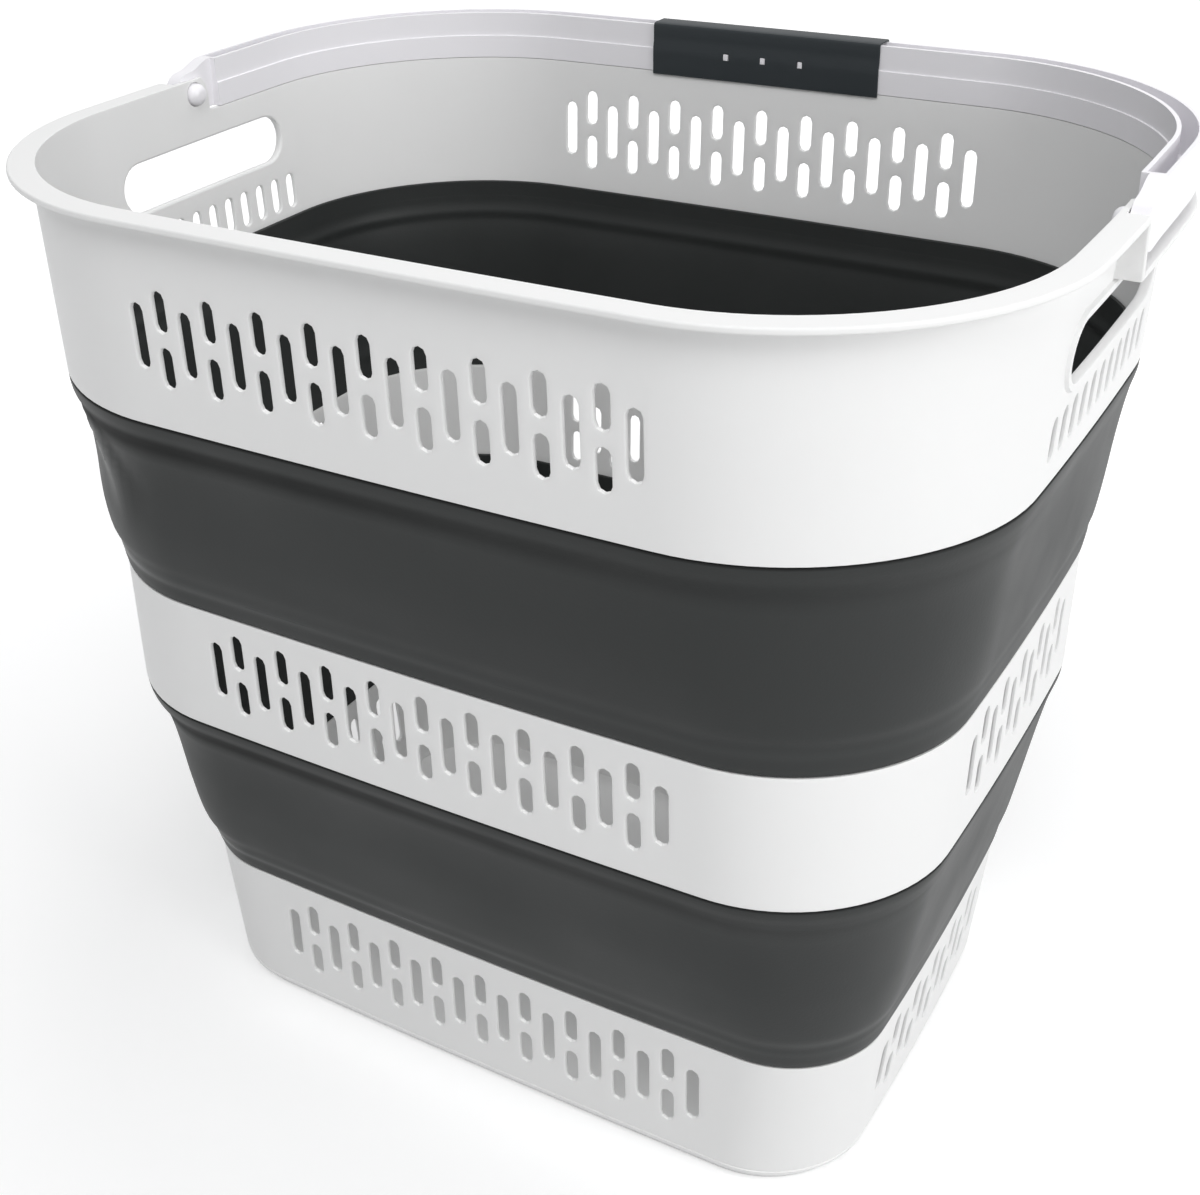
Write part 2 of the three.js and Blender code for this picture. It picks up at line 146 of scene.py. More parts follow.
class HamperRim(bpy.types.PropertyGroup):
    """Flange, hand holes and pivots of the rim"""

    flange_reach: length("Flange reach", "How far the flange stands out", 0.009)
    flange_thickness: length("Flange thickness", "Thickness of the front flange", 0.0027)
    flange_edge: length("Flange edge", "Rounding of the flange's edge", 0.0009)
    flange_root: length("Flange root", "Rounding between flange and wall", 0.0007)
    back_drop: length("Back drop", "Drop from the rim to the back flange", 0.0211)
    back_thickness: length("Back thickness", "Thickness of the back flange", 0.0024)
    back_wall_drop: length("Back wall drop", "Drop from the rim to the back wall", 0.0158)
    riser_front: length("Riser front", "Riser's front face, along the depth", -0.014)
    riser_rear: length("Riser rear", "Riser's rear face, along the depth", -0.0118)
    hole_length: length("Hole length", "Length of each hand hole", 0.115)
    hole_height: length("Hole height", "Height of each hand hole", 0.0224)
    hole_drop: length("Hole drop", "Drop from the rim to the hole's middle", 0.0395)
    hole_round: length("Hole rounding", "Rounding of the hole's inner edge", 0.0010)
    frame_width: length("Frame width", "Width of the frame round the hole", 0.0040)
    frame_height: length("Frame height", "How far the frame stands proud", 0.0015)
    pivot_drop: length("Pivot drop", "Drop from the rim to the bail's pivot", 0.0067)
    pivot_hole: length("Pivot hole", "Radius of the pivot hole", 0.0054)
    ear: length("Ear", "Radius of the ear round the pivot", 0.009)


class HamperBail(bpy.types.PropertyGroup):
    """Carry bail and its grip"""

    inset: length("Inset", "How far the bail reaches inside the wall", 0.0033)
    outset: length("Outset", "How far the bail reaches outside the wall", 0.0074)
    wall: length("Wall", "Thickness of the channel's walls", 0.0018)
    floor: length("Floor", "Thickness of the channel's floor", 0.003)
    height: length("Height", "Height of the channel", 0.0225)
    step_drop: length("Step drop", "Drop from the top to the step inside", 0.0115)
    step_depth: length("Step depth", "Depth of the step inside", 0.0007)
    end: length("End", "Where the channel ends, behind the pivot", 0.016)
    edge: length("Edge", "Rounding of the edges", 0.0006)
    cheek_gap: length("Cheek gap", "Gap between rim and cheek", 0.0004)
    cheek_radius: length("Cheek radius", "Radius of each cheek", 0.0096)
    stud_radius: length("Stud radius", "Radius of each snap stud", 0.0051)
    stud_round: length("Stud rounding", "Rounding of each stud's tip", 0.0036)
    stud_reach: length("Stud reach", "How far a stud stands inside the wall", 0.0045)
    gap: length("Gap", "Clearance of the bail on the wall and of the grip", 0.0003)
    skin: length("Grip skin", "Thickness of the grip", 0.0009)
    grip_round: length("Grip rounding", "Rounding of the grip's upper edges", 0.0017)
    overhang: length("Overhang", "How far the grip reaches below the bail", 0.0014)
    spacing: length("Spacing", "Distance between the raised squares", 0.0195)
    square_width: length("Square width", "Width of each square", 0.0025)
    square_height: length("Square height", "Height of each square", 0.003)
    square_drop: length("Square drop", "Drop from the top to the squares", 0.0125)
    window_gap: length("Window gap", "Clearance round each square", 0.0001)
    crease: length("Crease", "Height over which the grip follows the step", 0.0032)


class HamperSleeves(bpy.types.PropertyGroup):
    """Folding rubber sleeves"""

    thickness: length("Thickness", "Thickness of the rubber", 0.0022)
    gap: length("Seat gap", "Clearance at each band", 0.0003)
    turn: length("Edge turn", "Rounding into each band", 0.0012)
    foot: length("Foot", "Height of the foot above the lower band", 0.0125)
    foot_swell: length("Foot swell", "How far the foot stands proud", 0.0003)
    ridge: length("Ridge", "Height of the ridge on the foot's upper edge", 0.0003)
    belly: length("Belly", "How far the panel swells above its foot", 0.0007)
    belly_height: length("Belly height", "Height of the belly above the lower band", 0.024)
    corner_belly: length("Corner belly", "Further swelling at the corners", 0.0014)
    ledge: length("Ledge", "Height of the ledge under the upper band", 0.0085)
    ledge_swell: length("Ledge swell", "How far the ledge stands proud", 0.0003)
    valley: length("Valley", "Depth of the valley under the ledge", 0.0026)
    valley_drop: length("Valley drop", "Distance of the valley below the upper band", 0.0135)
    valley_fade: length("Valley fade", "Distance at which the valley has flattened out", 0.060)
    fold: length("Fold", "Height of the fold at the front left corner", 0.0013)
    fold_width: length("Fold width", "Half the width of that fold", 0.0055)
    fold_length: length("Fold length", "Length of that fold below the upper band", 0.040)
    lip_height: length("Lip height", "Height of the lip inside the upper band", 0.0072)
    lip_thickness: length("Lip thickness", "Thickness of the lip", 0.0015)
    lip_fade: length("Lip fade", "Height over which the lip meets the panel", 0.005)


class HamperFinish(bpy.types.PropertyGroup):
    """Colours of the finishes and strengths of the light"""

    band: colour("Band", "White of the bands", (0.86, 0.86, 0.855))
    bail: colour("Bail", "White of the bail", (0.925, 0.912, 0.942))
    sleeve: colour("Sleeve", "Dark rubber of the sleeves", (0.025, 0.0272, 0.0268))
    grip: colour("Grip", "Dark rubber of the grip", (0.027, 0.033, 0.037))
    floor: colour("Floor", "Matt white of the floor", (0.80, 0.80, 0.80))
    floor_glow: number("Floor glow", "Light that the floor has by the hamper", 0.34)
    far_glow: number("Far glow", "Light that the floor has far away", 0.74)
    room: colour("Room", "Colour of the room's light", (0.97, 0.98, 1.0))
    room_light: number("Room light", "Strength of the room's light", 0.35)


def sizes(group):
    """Values of one of the groups above"""
    return getattr(bpy.context.scene, "hamper_" + group)


def steps(start, end, count):
    """Even steps from a start to an end, with both of them"""
    return [start + (end - start) * i / count for i in range(count + 1)]


def ease(value, start, end):
    """Nothing up to the start, one from the end on, smooth between them"""
    share = min(1, max(0, (value - start) / (end - start)))
    return share * share * (3 - 2 * share)


def hump(value, rise, top, fall, end):
    """One between a rise and a fall, both smooth"""
    return ease(value, rise, top) * (1 - ease(value, fall, end))


def bell(value, middle, width):
    return math.exp(-((value - middle) / width) ** 2)


def pivot_height():
    return RIM_HIGH.z - sizes("rim").pivot_drop


def bail_heights():
    """Lower edge and top of the bail's channel, which lies on the back wall"""
    low = RIM_HIGH.z - sizes("rim").back_wall_drop + sizes("bail").gap
    return low, low + sizes("bail").height


class Run:
    """The way round a band, unrolled: anticlockwise from above, from the right side's front end.

    A side, a corner, the back and a corner make half the way round, and the other half repeats it."""

    corner = 0.15
    corner_steps = 24
    step = 0.006
    front_left = 2

    def __init__(self):
        s, w = sizes("slots"), sizes("walls")
        self.side = s.column * s.side_columns / 2
        self.front = s.column * s.front_columns / 2
        self.half = 2 * (self.side + self.front + self.corner)
        self.bows = w.side_bow, w.front_bow
        self.levels = [
            (0.0, *w.foot),
            (TRAY_HIGH.z, TRAY_HIGH.x, TRAY_HIGH.y, w.tray_corner),
            (MIDDLE_LOW.z, *w.middle_foot),
            (MIDDLE_HIGH.z, MIDDLE_HIGH.x, MIDDLE_HIGH.y, w.middle_corner),
            (RIM_LOW.z, *w.rim_foot),
            (RIM_HIGH.z, *w.rim),
        ]
        self.rim_plan = self.levels[-1][1:]
        rounds = [lines for turn in (0, 1) for lines in self.stretches(turn)[1::2]]
        self.corners = [(lines[0] + lines[-1]) / 2 for lines in rounds]

    def stretches(self, turn):
        """Lines along the side, the corner, the front or back and the last corner of one half"""
        side = turn * self.half - self.side
        corner = side + 2 * self.side
        front = corner + self.corner
        last = front + 2 * self.front
        return (steps(side, corner, round(2 * self.side / self.step)),
                steps(corner, front, self.corner_steps),
                steps(front, last, round(2 * self.front / self.step)),
                steps(last, last + self.corner, self.corner_steps))

    def local(self, along):
        """Sign of the half that a place lies in, and its distance from the middle of that half's side"""
        turned = along >= self.half - self.side - NEAR
        return (-1, along - self.half) if turned else (1, along)

    def depth(self, along):
        """Place along the depth on the sides' straight stretches, and a metre past them elsewhere"""
        sign, local = self.local(along)
        return sign * (local if local <= self.side + NEAR else 1)

    def apart(self, along, other):
        """Shorter way round between two places"""
        return (along - other + self.half) % (2 * self.half) - self.half

    def on_seam(self, verts):
        ends = -self.side, 2 * self.half - self.side
        return any(all(abs(vert.co.x - end) < NEAR for vert in verts) for end in ends)

    def plan_at(self, height):
        """Half width, half depth and corner radius at a height, straight between the edges"""
        upper = 1
        while upper < len(self.levels) - 1 and height > self.levels[upper][0]:
            upper += 1
        low, high = self.levels[upper - 1], self.levels[upper]
        share = (height - low[0]) / (high[0] - low[0])
        return [a + share * (b - a) for a, b in zip(low[1:], high[1:])]

    def round_point(self, half_width, half_depth, corner, local):
        """Place on one half of a rounded rectangle"""
        centre_x, centre_y = half_width - corner, half_depth - corner
        if local <= self.side:
            over = abs(local) - centre_y
            return half_width if over <= 0 else centre_x + math.sqrt(corner ** 2 - over ** 2), local
        past = local - self.side - self.corner
        if 0 <= past <= 2 * self.front:
            x = self.front - past
            over = abs(x) - centre_x
            return x, half_depth if over <= 0 else centre_y + math.sqrt(corner ** 2 - over ** 2)
        near, far = self.side - centre_y, self.front - centre_x
        first = math.atan2(near, corner) if near < 0 else math.asin(near / corner)
        last = math.atan2(corner, far) if far < 0 else math.acos(far / corner)
        mirror = 1 if past < 0 else -1
        share = 1 + (past if past < 0 else 2 * self.front - past) / self.corner
        angle = first + (last - first) * share
        reach = corner
        if angle < 0:
            reach = corner / math.cos(angle)
        elif angle > math.pi / 2:
            reach = corner / math.sin(angle)
        return mirror * (centre_x + reach * math.cos(angle)), centre_y + reach * math.sin(angle)

    def point(self, along, height, offset, plan=None):
        """Place in space of a point on the unrolled wall, offset outwards"""
        half_width, half_depth, corner = (size + offset for size in plan or self.plan_at(height))
        sign, local = self.local(along)
        x, y = self.round_point(half_width, half_depth, corner, local)
        bow_x = x * (1 - self.bows[0] * (y / half_depth) ** 2)
        bow_y = y * (1 - self.bows[1] * (x / half_width) ** 2)
        return Vector((sign * bow_x, sign * bow_y, height))


def grid_patch(bm, columns, rows, place):
    """Grid of faces whose corners go where place(column line, row line) says"""
    made = bmesh.ops.create_grid(bm, x_segments=columns, y_segments=rows, size=1)["verts"]
    for vert in made:
        vert.co = place(round((vert.co.x + 1) / 2 * columns), round((vert.co.y + 1) / 2 * rows))
    return made


def lined_patch(bm, lines, rows_here, rows_there=None):
    """Flat patch between lines along the run, its rows sloping from the first heights to the second"""
    rows_there = rows_there or rows_here

    def place(i, j):
        share = ease(lines[i], lines[0], lines[-1])
        return lines[i], rows_here[j] + share * (rows_there[j] - rows_here[j]), 0

    grid_patch(bm, len(lines) - 1, len(rows_here) - 1, place)


def section_patch(bm, lines, section):
    """Section, given as offset and height, drawn along the unrolled run"""
    made = grid_patch(bm, len(lines) - 1, len(section) - 1,
                      lambda i, j: (lines[i], section[j][1], section[j][0]))
    bmesh.ops.remove_doubles(bm, verts=made, dist=WELD)


def slot_places(count, end_steps, centre, width, height, grow=0.0):
    """Places round a slot with half-round ends, anticlockwise from the start of its upper or right end"""
    radius = min(width, height) / 2 + grow
    straight = abs(height - width) / 2
    side_steps = count // 2 - end_steps
    places = []
    for k in range(count):
        half, step = divmod(k, count // 2)
        if step < end_steps:
            angle = math.pi * step / end_steps
            x, y = radius * math.cos(angle), straight + radius * math.sin(angle)
        else:
            x, y = -radius, straight * (1 - 2 * (step - end_steps) / side_steps)
        if half:
            x, y = -x, -y
        if width > height:
            x, y = y, -x
        places.append((centre[0] + x, centre[1] + y, 0))
    return places


def border_places(columns, rows, start):
    """Places of the grid points round a patch, anticlockwise, counted on from its upper right corner"""
    walk = [(x, rows[-1], 0) for x in reversed(columns[1:])]
    walk += [(columns[0], y, 0) for y in reversed(rows[1:])]
    walk += [(x, rows[0], 0) for x in columns[:-1]]
    walk += [(columns[-1], y, 0) for y in rows[:-1]]
    return walk[start:] + walk[:start]


def pierced_patch(bm, loops):
    """Patch round a hole: a ring of vertices at the first places, drawn out to each of the next"""
    ring = bmesh.ops.create_circle(bm, segments=len(loops[0]), radius=1)["verts"]
    for vert, place in zip(ring, loops[0]):
        vert.co = place
    edges = list({edge for vert in ring for edge in vert.link_edges})
    for places in loops[1:]:
        order = {vert: k for k, vert in enumerate(ring)}
        ring = [None] * len(places)
        made = bmesh.ops.extrude_edge_only(bm, edges=edges)["geom"]
        for vert in made:
            if isinstance(vert, bmesh.types.BMVert):
                others = [edge.other_vert(vert) for edge in vert.link_edges]
                k = next(order[other] for other in others if other in order)
                ring[k] = vert
                vert.co = places[k]
        edges = [item for item in made if isinstance(item, bmesh.types.BMEdge) and item.is_boundary]


def slot_mesh(slot_height, cell_height, rows):
    """One cell of wall with its slot, about its own middle, as a mesh to copy"""
    s = sizes("slots")
    bm = bmesh.new()
    count = 2 * (2 + rows)
    levels = steps(-cell_height / 2, cell_height / 2, rows)
    pierced_patch(bm, [slot_places(count, 4, (0, 0), s.width, slot_height),
                       border_places([-s.column / 2, 0, s.column / 2], levels, count - 1)])
    mesh = bpy.data.meshes.new("slot_cell")
    bm.to_mesh(mesh)
    bm.free()
    return mesh


def slot_rows(bm, start, columns, row, single=False):
    """Columns of one long slot between columns of two short ones, or columns of a single short one"""
    s = sizes("slots")
    tall = slot_mesh(s.long_height, s.cell, 8)
    short = slot_mesh(s.short_height, s.cell / 2, 4)
    for i in range(columns):
        cells = [(tall, 0)]
        if single:
            cells = [(short, 0)]
        elif i % 2:
            cells = [(short, -s.cell / 4), (short, s.cell / 4)]
        for mesh, rise in cells:
            before = len(bm.verts)
            bm.from_mesh(mesh)
            bm.verts.ensure_lookup_table()
            bmesh.ops.translate(bm, verts=bm.verts[before:],
                                vec=(start + s.column * (i + 0.5), row + rise, 0))
    for mesh in (tall, short):
        bpy.data.meshes.remove(mesh)


def weld(bm):
    bmesh.ops.remove_doubles(bm, verts=bm.verts[:], dist=WELD)


def turn_out(bm):
    bmesh.ops.recalc_face_normals(bm, faces=bm.faces[:])


def finish_sheet(bm):
    """Joins the patches and turns every face outwards"""
    weld(bm)
    turn_out(bm)
    if sum(face.normal.z * face.calc_area() for face in bm.faces) < 0:
        bmesh.ops.reverse_faces(bm, faces=bm.faces[:])


def thicken(bm, thickness):
    bmesh.ops.solidify(bm, geom=bm.faces[:], thickness=thickness)
    turn_out(bm)


def draw_out(bm, faces, vec):
    """Extrudes a region of faces by a vector and leaves none of them behind"""
    edges = {edge for face in faces for edge in face.edges}
    verts = {vert for face in faces for vert in face.verts}
    made = bmesh.ops.extrude_face_region(bm, geom=[*faces, *edges, *verts])["geom"]
    moved = [item for item in made if isinstance(item, bmesh.types.BMVert)]
    bmesh.ops.translate(bm, verts=moved, vec=vec)


def drop_faces(bm, faces):
    """Deletes faces and the bare edges that they leave"""
    bmesh.ops.delete(bm, geom=faces, context="FACES_ONLY")
    bmesh.ops.delete(bm, geom=[edge for edge in bm.edges if edge.is_wire], context="EDGES")


def close_end(bm, axis, place):
    """Fills the one open loop of edges that lies at a place along an axis"""
    rim = [e for e in bm.edges if e.is_boundary and abs(e.verts[0].co[axis] - place) < NEAR * 4]
    made = bmesh.ops.holes_fill(bm, edges=rim, sides=0)["faces"]
    if len(made) != 1:
        raise RuntimeError("an open end did not close with one face")
    return made


def faces_where(bm, test):
    return [face for face in bm.faces if test(face, face.calc_center_median())]


def brinks(bm, run, face_up):
    """Square edges between a flat face and a cut, on the outer or the inner side, but not at the seam"""
    found = []
    for edge in bm.edges:
        if len(edge.link_faces) == 2 and not run.on_seam(edge.verts):
            ups = sorted(face.normal.z * face_up for face in edge.link_faces)
            if ups[1] > FLAT and abs(ups[0]) < 1 - FLAT:
                found.append(edge)
    return found


def lies_at(edge, heights):
    return any(all(abs(vert.co.y - height) < NEAR for vert in edge.verts) for height in heights)


def square_edges(bm):
    return [edge for edge in bm.edges if len(edge.link_faces) == 2 and edge.calc_face_angle(0) > SQUARE]


def round_edges(bm, edges, width, segments=2):
    """Rounds those of the edges that earlier roundings have left"""
    edges = [edge for edge in edges if edge.is_valid]
    if edges:
        bmesh.ops.bevel(bm, geom=edges, offset=width, offset_type="OFFSET", segments=segments,
                        profile=0.5, affect="EDGES", material=-1, clamp_overlap=True)


def slotted_wall(run, rows, row):
    """Unrolled wall of a band with slots in its front, back and sides, thick and with rounded edges"""
    s, w = sizes("slots"), sizes("walls")
    bm = bmesh.new()
    low, high = row - s.cell / 2, row + s.cell / 2
    below = [h for h in rows if h < low - NEAR] + [low]
    above = [high] + [h for h in rows if h > high + NEAR]
    for turn in (0, 1):
        side, corner, front, last = run.stretches(turn)
        for lines in (side, front):
            lined_patch(bm, lines, below)
            lined_patch(bm, lines, above)
        for lines in (corner, last):
            lined_patch(bm, lines, below[:-1] + steps(low, high, 8) + above[1:])
        slot_rows(bm, side[0], s.side_columns, row)
        slot_rows(bm, front[0], s.front_columns, row)
    finish_sheet(bm)
    thicken(bm, w.wall)
    ends = rows[0], rows[-1]
    for side, width in ((1, s.outer_round), (-1, s.inner_round)):
        cuts = brinks(bm, run, side)
        rims = [edge for edge in cuts if lies_at(edge, ends)]
        round_edges(bm, [edge for edge in cuts if not lies_at(edge, ends)], width)
        round_edges(bm, rims, w.edge)
    return bm


def bend(bm, run, shape=None, plan=None, plan_from=-1):
    """Bends what is unrolled round the hamper. What lies further out than plan_from keeps to the plan."""
    for vert in bm.verts:
        along, height, offset = vert.co
        if shape:
            offset = shape(along, height, offset)
        vert.co = run.point(along, height, offset, plan if offset > plan_from else None)
    weld(bm)
    turn_out(bm)


def roll_up(bm, run, shape=None, flange_plan=None):
    """Rolls the unrolled wall up round the hamper and closes its seam. A flange keeps a plan of its own."""
    drop_faces(bm, [face for face in bm.faces if run.on_seam(face.verts)])
    bend(bm, run, shape, flange_plan, FLANGE_FROM)


def put_in_scene(name, data):
    made = bpy.data.objects.new(name, data)
    bpy.context.scene.collection.objects.link(made)
    return made


def mesh_object(bm, name, material):
    mesh = bpy.data.meshes.new(name)
    bm.to_mesh(mesh)
    bm.free()
    mesh.materials.append(material)
    return put_in_scene(name, mesh)


def piece_from(bm, name, frame_node, slot, body=None):
    """Puts a finished mesh in the scene, smooth but for its sharp edges, riding on its body"""
    for face in bm.faces:
        face.smooth = True
    piece = mesh_object(bm, name, finish_for(slot))
    piece.data.set_sharp_from_angle(angle=SMOOTH_BELOW)
    piece.modifiers.new("Weighted normals", "WEIGHTED_NORMAL").keep_sharp = True
    if body:
        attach(piece, body)
    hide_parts(frame_node)
    return piece


def fresh_tree(owner):
    owner.use_nodes = True
    owner.node_tree.nodes.clear()
    return owner.node_tree


def node(tree, kind, place, inputs, **settings):
    """New node with its settings, and with a value or another node's output at each of the inputs"""
    made = tree.nodes.new(kind)
    made.location = place
    for key, value in settings.items():
        setattr(made, key, value)
    for key, value in inputs.items():
        if isinstance(value, bpy.types.NodeSocket):
            tree.links.new(value, made.inputs[key])
        else:
            made.inputs[key].default_value = value
    return made


def grain_group():
    """Fine moulded grain and a slow mottle"""
    name = "moulded_grain"
    if name in bpy.data.node_groups:
        return bpy.data.node_groups[name]
    group = bpy.data.node_groups.new(name, "ShaderNodeTree")
    for label, default in (("Grain size", 1200.0), ("Mottle size", 14.0)):
        socket = group.interface.new_socket(label, in_out="INPUT", socket_type="NodeSocketFloat")
        socket.default_value = default
    for label in ("Grain", "Mottle"):
        group.interface.new_socket(label, in_out="OUTPUT", socket_type="NodeSocketFloat")
    enter = node(group, "NodeGroupInput", (-600, 0), {})
    place = node(group, "ShaderNodeTexCoord", (-600, -200), {})
    outputs = {}
    for label, y, detail, roughness in (("Grain", 120, 2.0, 0.6), ("Mottle", -160, 3.0, 0.55)):
        noise = node(group, "ShaderNodeTexNoise", (-200, y), {
            "Vector": place.outputs["Object"], "Scale": enter.outputs[label + " size"],
            "Detail": detail, "Roughness": roughness})
        outputs[label] = noise.outputs["Fac"]
    node(group, "NodeGroupOutput", (400, 0), outputs)
    return group


def moulded(name, base, roughness, spread, grain_size, grain_depth, mottle, specular):
    """Moulded finish: fine grain in the bump and a slow mottle in colour and gloss"""
    material = bpy.data.materials.new(name)
    tree = fresh_tree(material)
    grain = node(tree, "ShaderNodeGroup", (-500, 0), {}, node_tree=grain_group())
    grain.inputs["Grain size"].default_value = grain_size
    slow = grain.outputs["Mottle"]
    dark = [c * (1 - mottle) for c in base]
    light = [min(1, c * (1 + mottle)) for c in base]
    tint = node(tree, "ShaderNodeMix", (0, 160), {0: slow, 6: (*dark, 1), 7: (*light, 1)}, data_type="RGBA")
    gloss = node(tree, "ShaderNodeMapRange", (0, -60), {
        "Value": slow, "From Min": 0.3, "From Max": 0.7,
        "To Min": roughness - spread, "To Max": roughness + spread})
    bump = node(tree, "ShaderNodeBump", (0, -320), {
        "Strength": 1.0, "Distance": grain_depth, "Height": grain.outputs["Grain"]})
    shader = node(tree, "ShaderNodeBsdfPrincipled", (300, 0), {
        "Base Color": tint.outputs[2], "Roughness": gloss.outputs["Result"],
        "Specular IOR Level": specular, "Normal": bump.outputs["Normal"]})
    node(tree, "ShaderNodeOutputMaterial", (600, 0), {"Surface": shader.outputs["BSDF"]})
    return material


def add_painted_shading(material):
    """Paints shade into a finish's colour, dark and dull in hollows, and paints highlights, lighter, on
    ridges, as the mesh's painted-shading attribute says
    """
    tree = material.node_tree
    colour_in, gloss_in = (tree.nodes["Principled BSDF"].inputs[key] for key in ("Base Color", "Roughness"))
    tint, gloss = colour_in.links[0].from_socket, gloss_in.links[0].from_socket
    tone = node(tree, "ShaderNodeAttribute", (-300, 420), {}, attribute_name="tone").outputs["Fac"]
    depth = node(tree, "ShaderNodeMapRange", (-60, 420), {"Value": tone, "To Min": 0.3, "To Max": 1.7})
    # painted shade and highlight: the colour goes from 0.3 times at nought to 1.7 times at one of that value
    shaded = node(tree, "ShaderNodeVectorMath", (150, 300), {
        0: tint, "Scale": depth.outputs["Result"]}, operation="SCALE")
    dull = node(tree, "ShaderNodeMath", (150, -60), {0: tone, 1: -0.7, 2: gloss}, operation="MULTIPLY_ADD")
    level = node(tree, "ShaderNodeMath", (150, -220), {
        0: dull.outputs[0], 1: 0.35}, operation="ADD", use_clamp=True)
    tree.links.new(shaded.outputs[0], colour_in)
    tree.links.new(level.outputs[0], gloss_in)


def finish_for(slot):
    """The finish for a material slot, made once"""
    f = sizes("finish")
    # name, colour, roughness and its spread, grain's size and depth, mottle, specular level
    name, *values = {
        "band_white": ("band_finish", f.band, 0.42, 0.04, 1500, 0.00002, 0.012, 0.5),
        "bail_white": ("bail_finish", f.bail, 0.32, 0.04, 1500, 0.000015, 0.012, 0.5),
        "sleeve_rubber": ("sleeve_finish", f.sleeve, 0.5, 0.06, 900, 0.00005, 0.1, 0.25),
        "grip_rubber": ("grip_finish", f.grip, 0.5, 0.05, 1100, 0.00004, 0.08, 0.3),
    }[slot]
    if name in bpy.data.materials:
        return bpy.data.materials[name]
    material = moulded(name, *values)
    # the sleeves' rubber gets painted shade and highlight in its colour
    if slot == "sleeve_rubber":
        add_painted_shading(material)
    return material


class HAMPER_OT_base_tray(bpy.types.Operator):
    """Makes the base tray: slotted wall, rounded foot and floor"""

    bl_idname = "hamper.base_tray"
    bl_label = "Base tray"

    rim_rows = -0.0004, 0, 0.0006
    fillet_row = 0.0008
    line_rows = -0.0005, -0.0002, 0.0002, 0.0005
    line_reach = 0.00025
    top_row = 0.003

    def execute(self, context):
        run, foot, w = Run(), sizes("foot"), sizes("walls")
        wall_foot = foot.rim_height + foot.fillet
        rows = [0] + [foot.rim_height + row for row in self.rim_rows]
        rows += [foot.floor_high, wall_foot - self.fillet_row, wall_foot]
        rows += [foot.line + row for row in self.line_rows] + [TRAY_HIGH.z - self.top_row, TRAY_HIGH.z]
        bm = slotted_wall(run, rows, sizes("slots").tray_row)

        def shape(along, height, offset):
            share = min(1, max(0, (wall_foot - height) / foot.fillet))
            if abs(height - foot.line) < self.line_reach and offset > -w.wall / 2:
                offset -= foot.line_depth
            return offset - foot.inset * (1 - math.sqrt(1 - share * share))

        roll_up(bm, run, shape)
        self.add_floor(bm, foot)
        piece_from(bm, "base_tray_shell", "base_tray", "band_white", "base")
        return {"FINISHED"}

    def add_floor(self, bm, foot):
        """Opens the inner wall between the floor's two levels and closes each level with a flat sheet"""
        low, high = foot.rim_height, foot.floor_high
        drop_faces(bm, faces_where(bm, lambda face, middle: low < middle.z < high
                                   and middle.xy.dot(face.normal.xy) < 0))
        close_end(bm, 2, low)
        floor = close_end(bm, 2, high)
        bmesh.ops.inset_region(bm, faces=floor, thickness=foot.floor_border, depth=0, use_even_offset=True)
        turn_out(bm)


class HAMPER_OT_middle_band(bpy.types.Operator):
    """Makes the middle band"""

    bl_idname = "hamper.middle_band"
    bl_label = "Middle band"

    edge_row = 0.002

    def execute(self, context):
        run, low, high = Run(), MIDDLE_LOW.z, MIDDLE_HIGH.z
        rows = [low, low + self.edge_row, high - self.edge_row, high]
        bm = slotted_wall(run, rows, low + sizes("slots").middle_row)
        roll_up(bm, run)
        piece_from(bm, "middle_band_shell", "middle_band", "band_white", "middle")
        return {"FINISHED"}


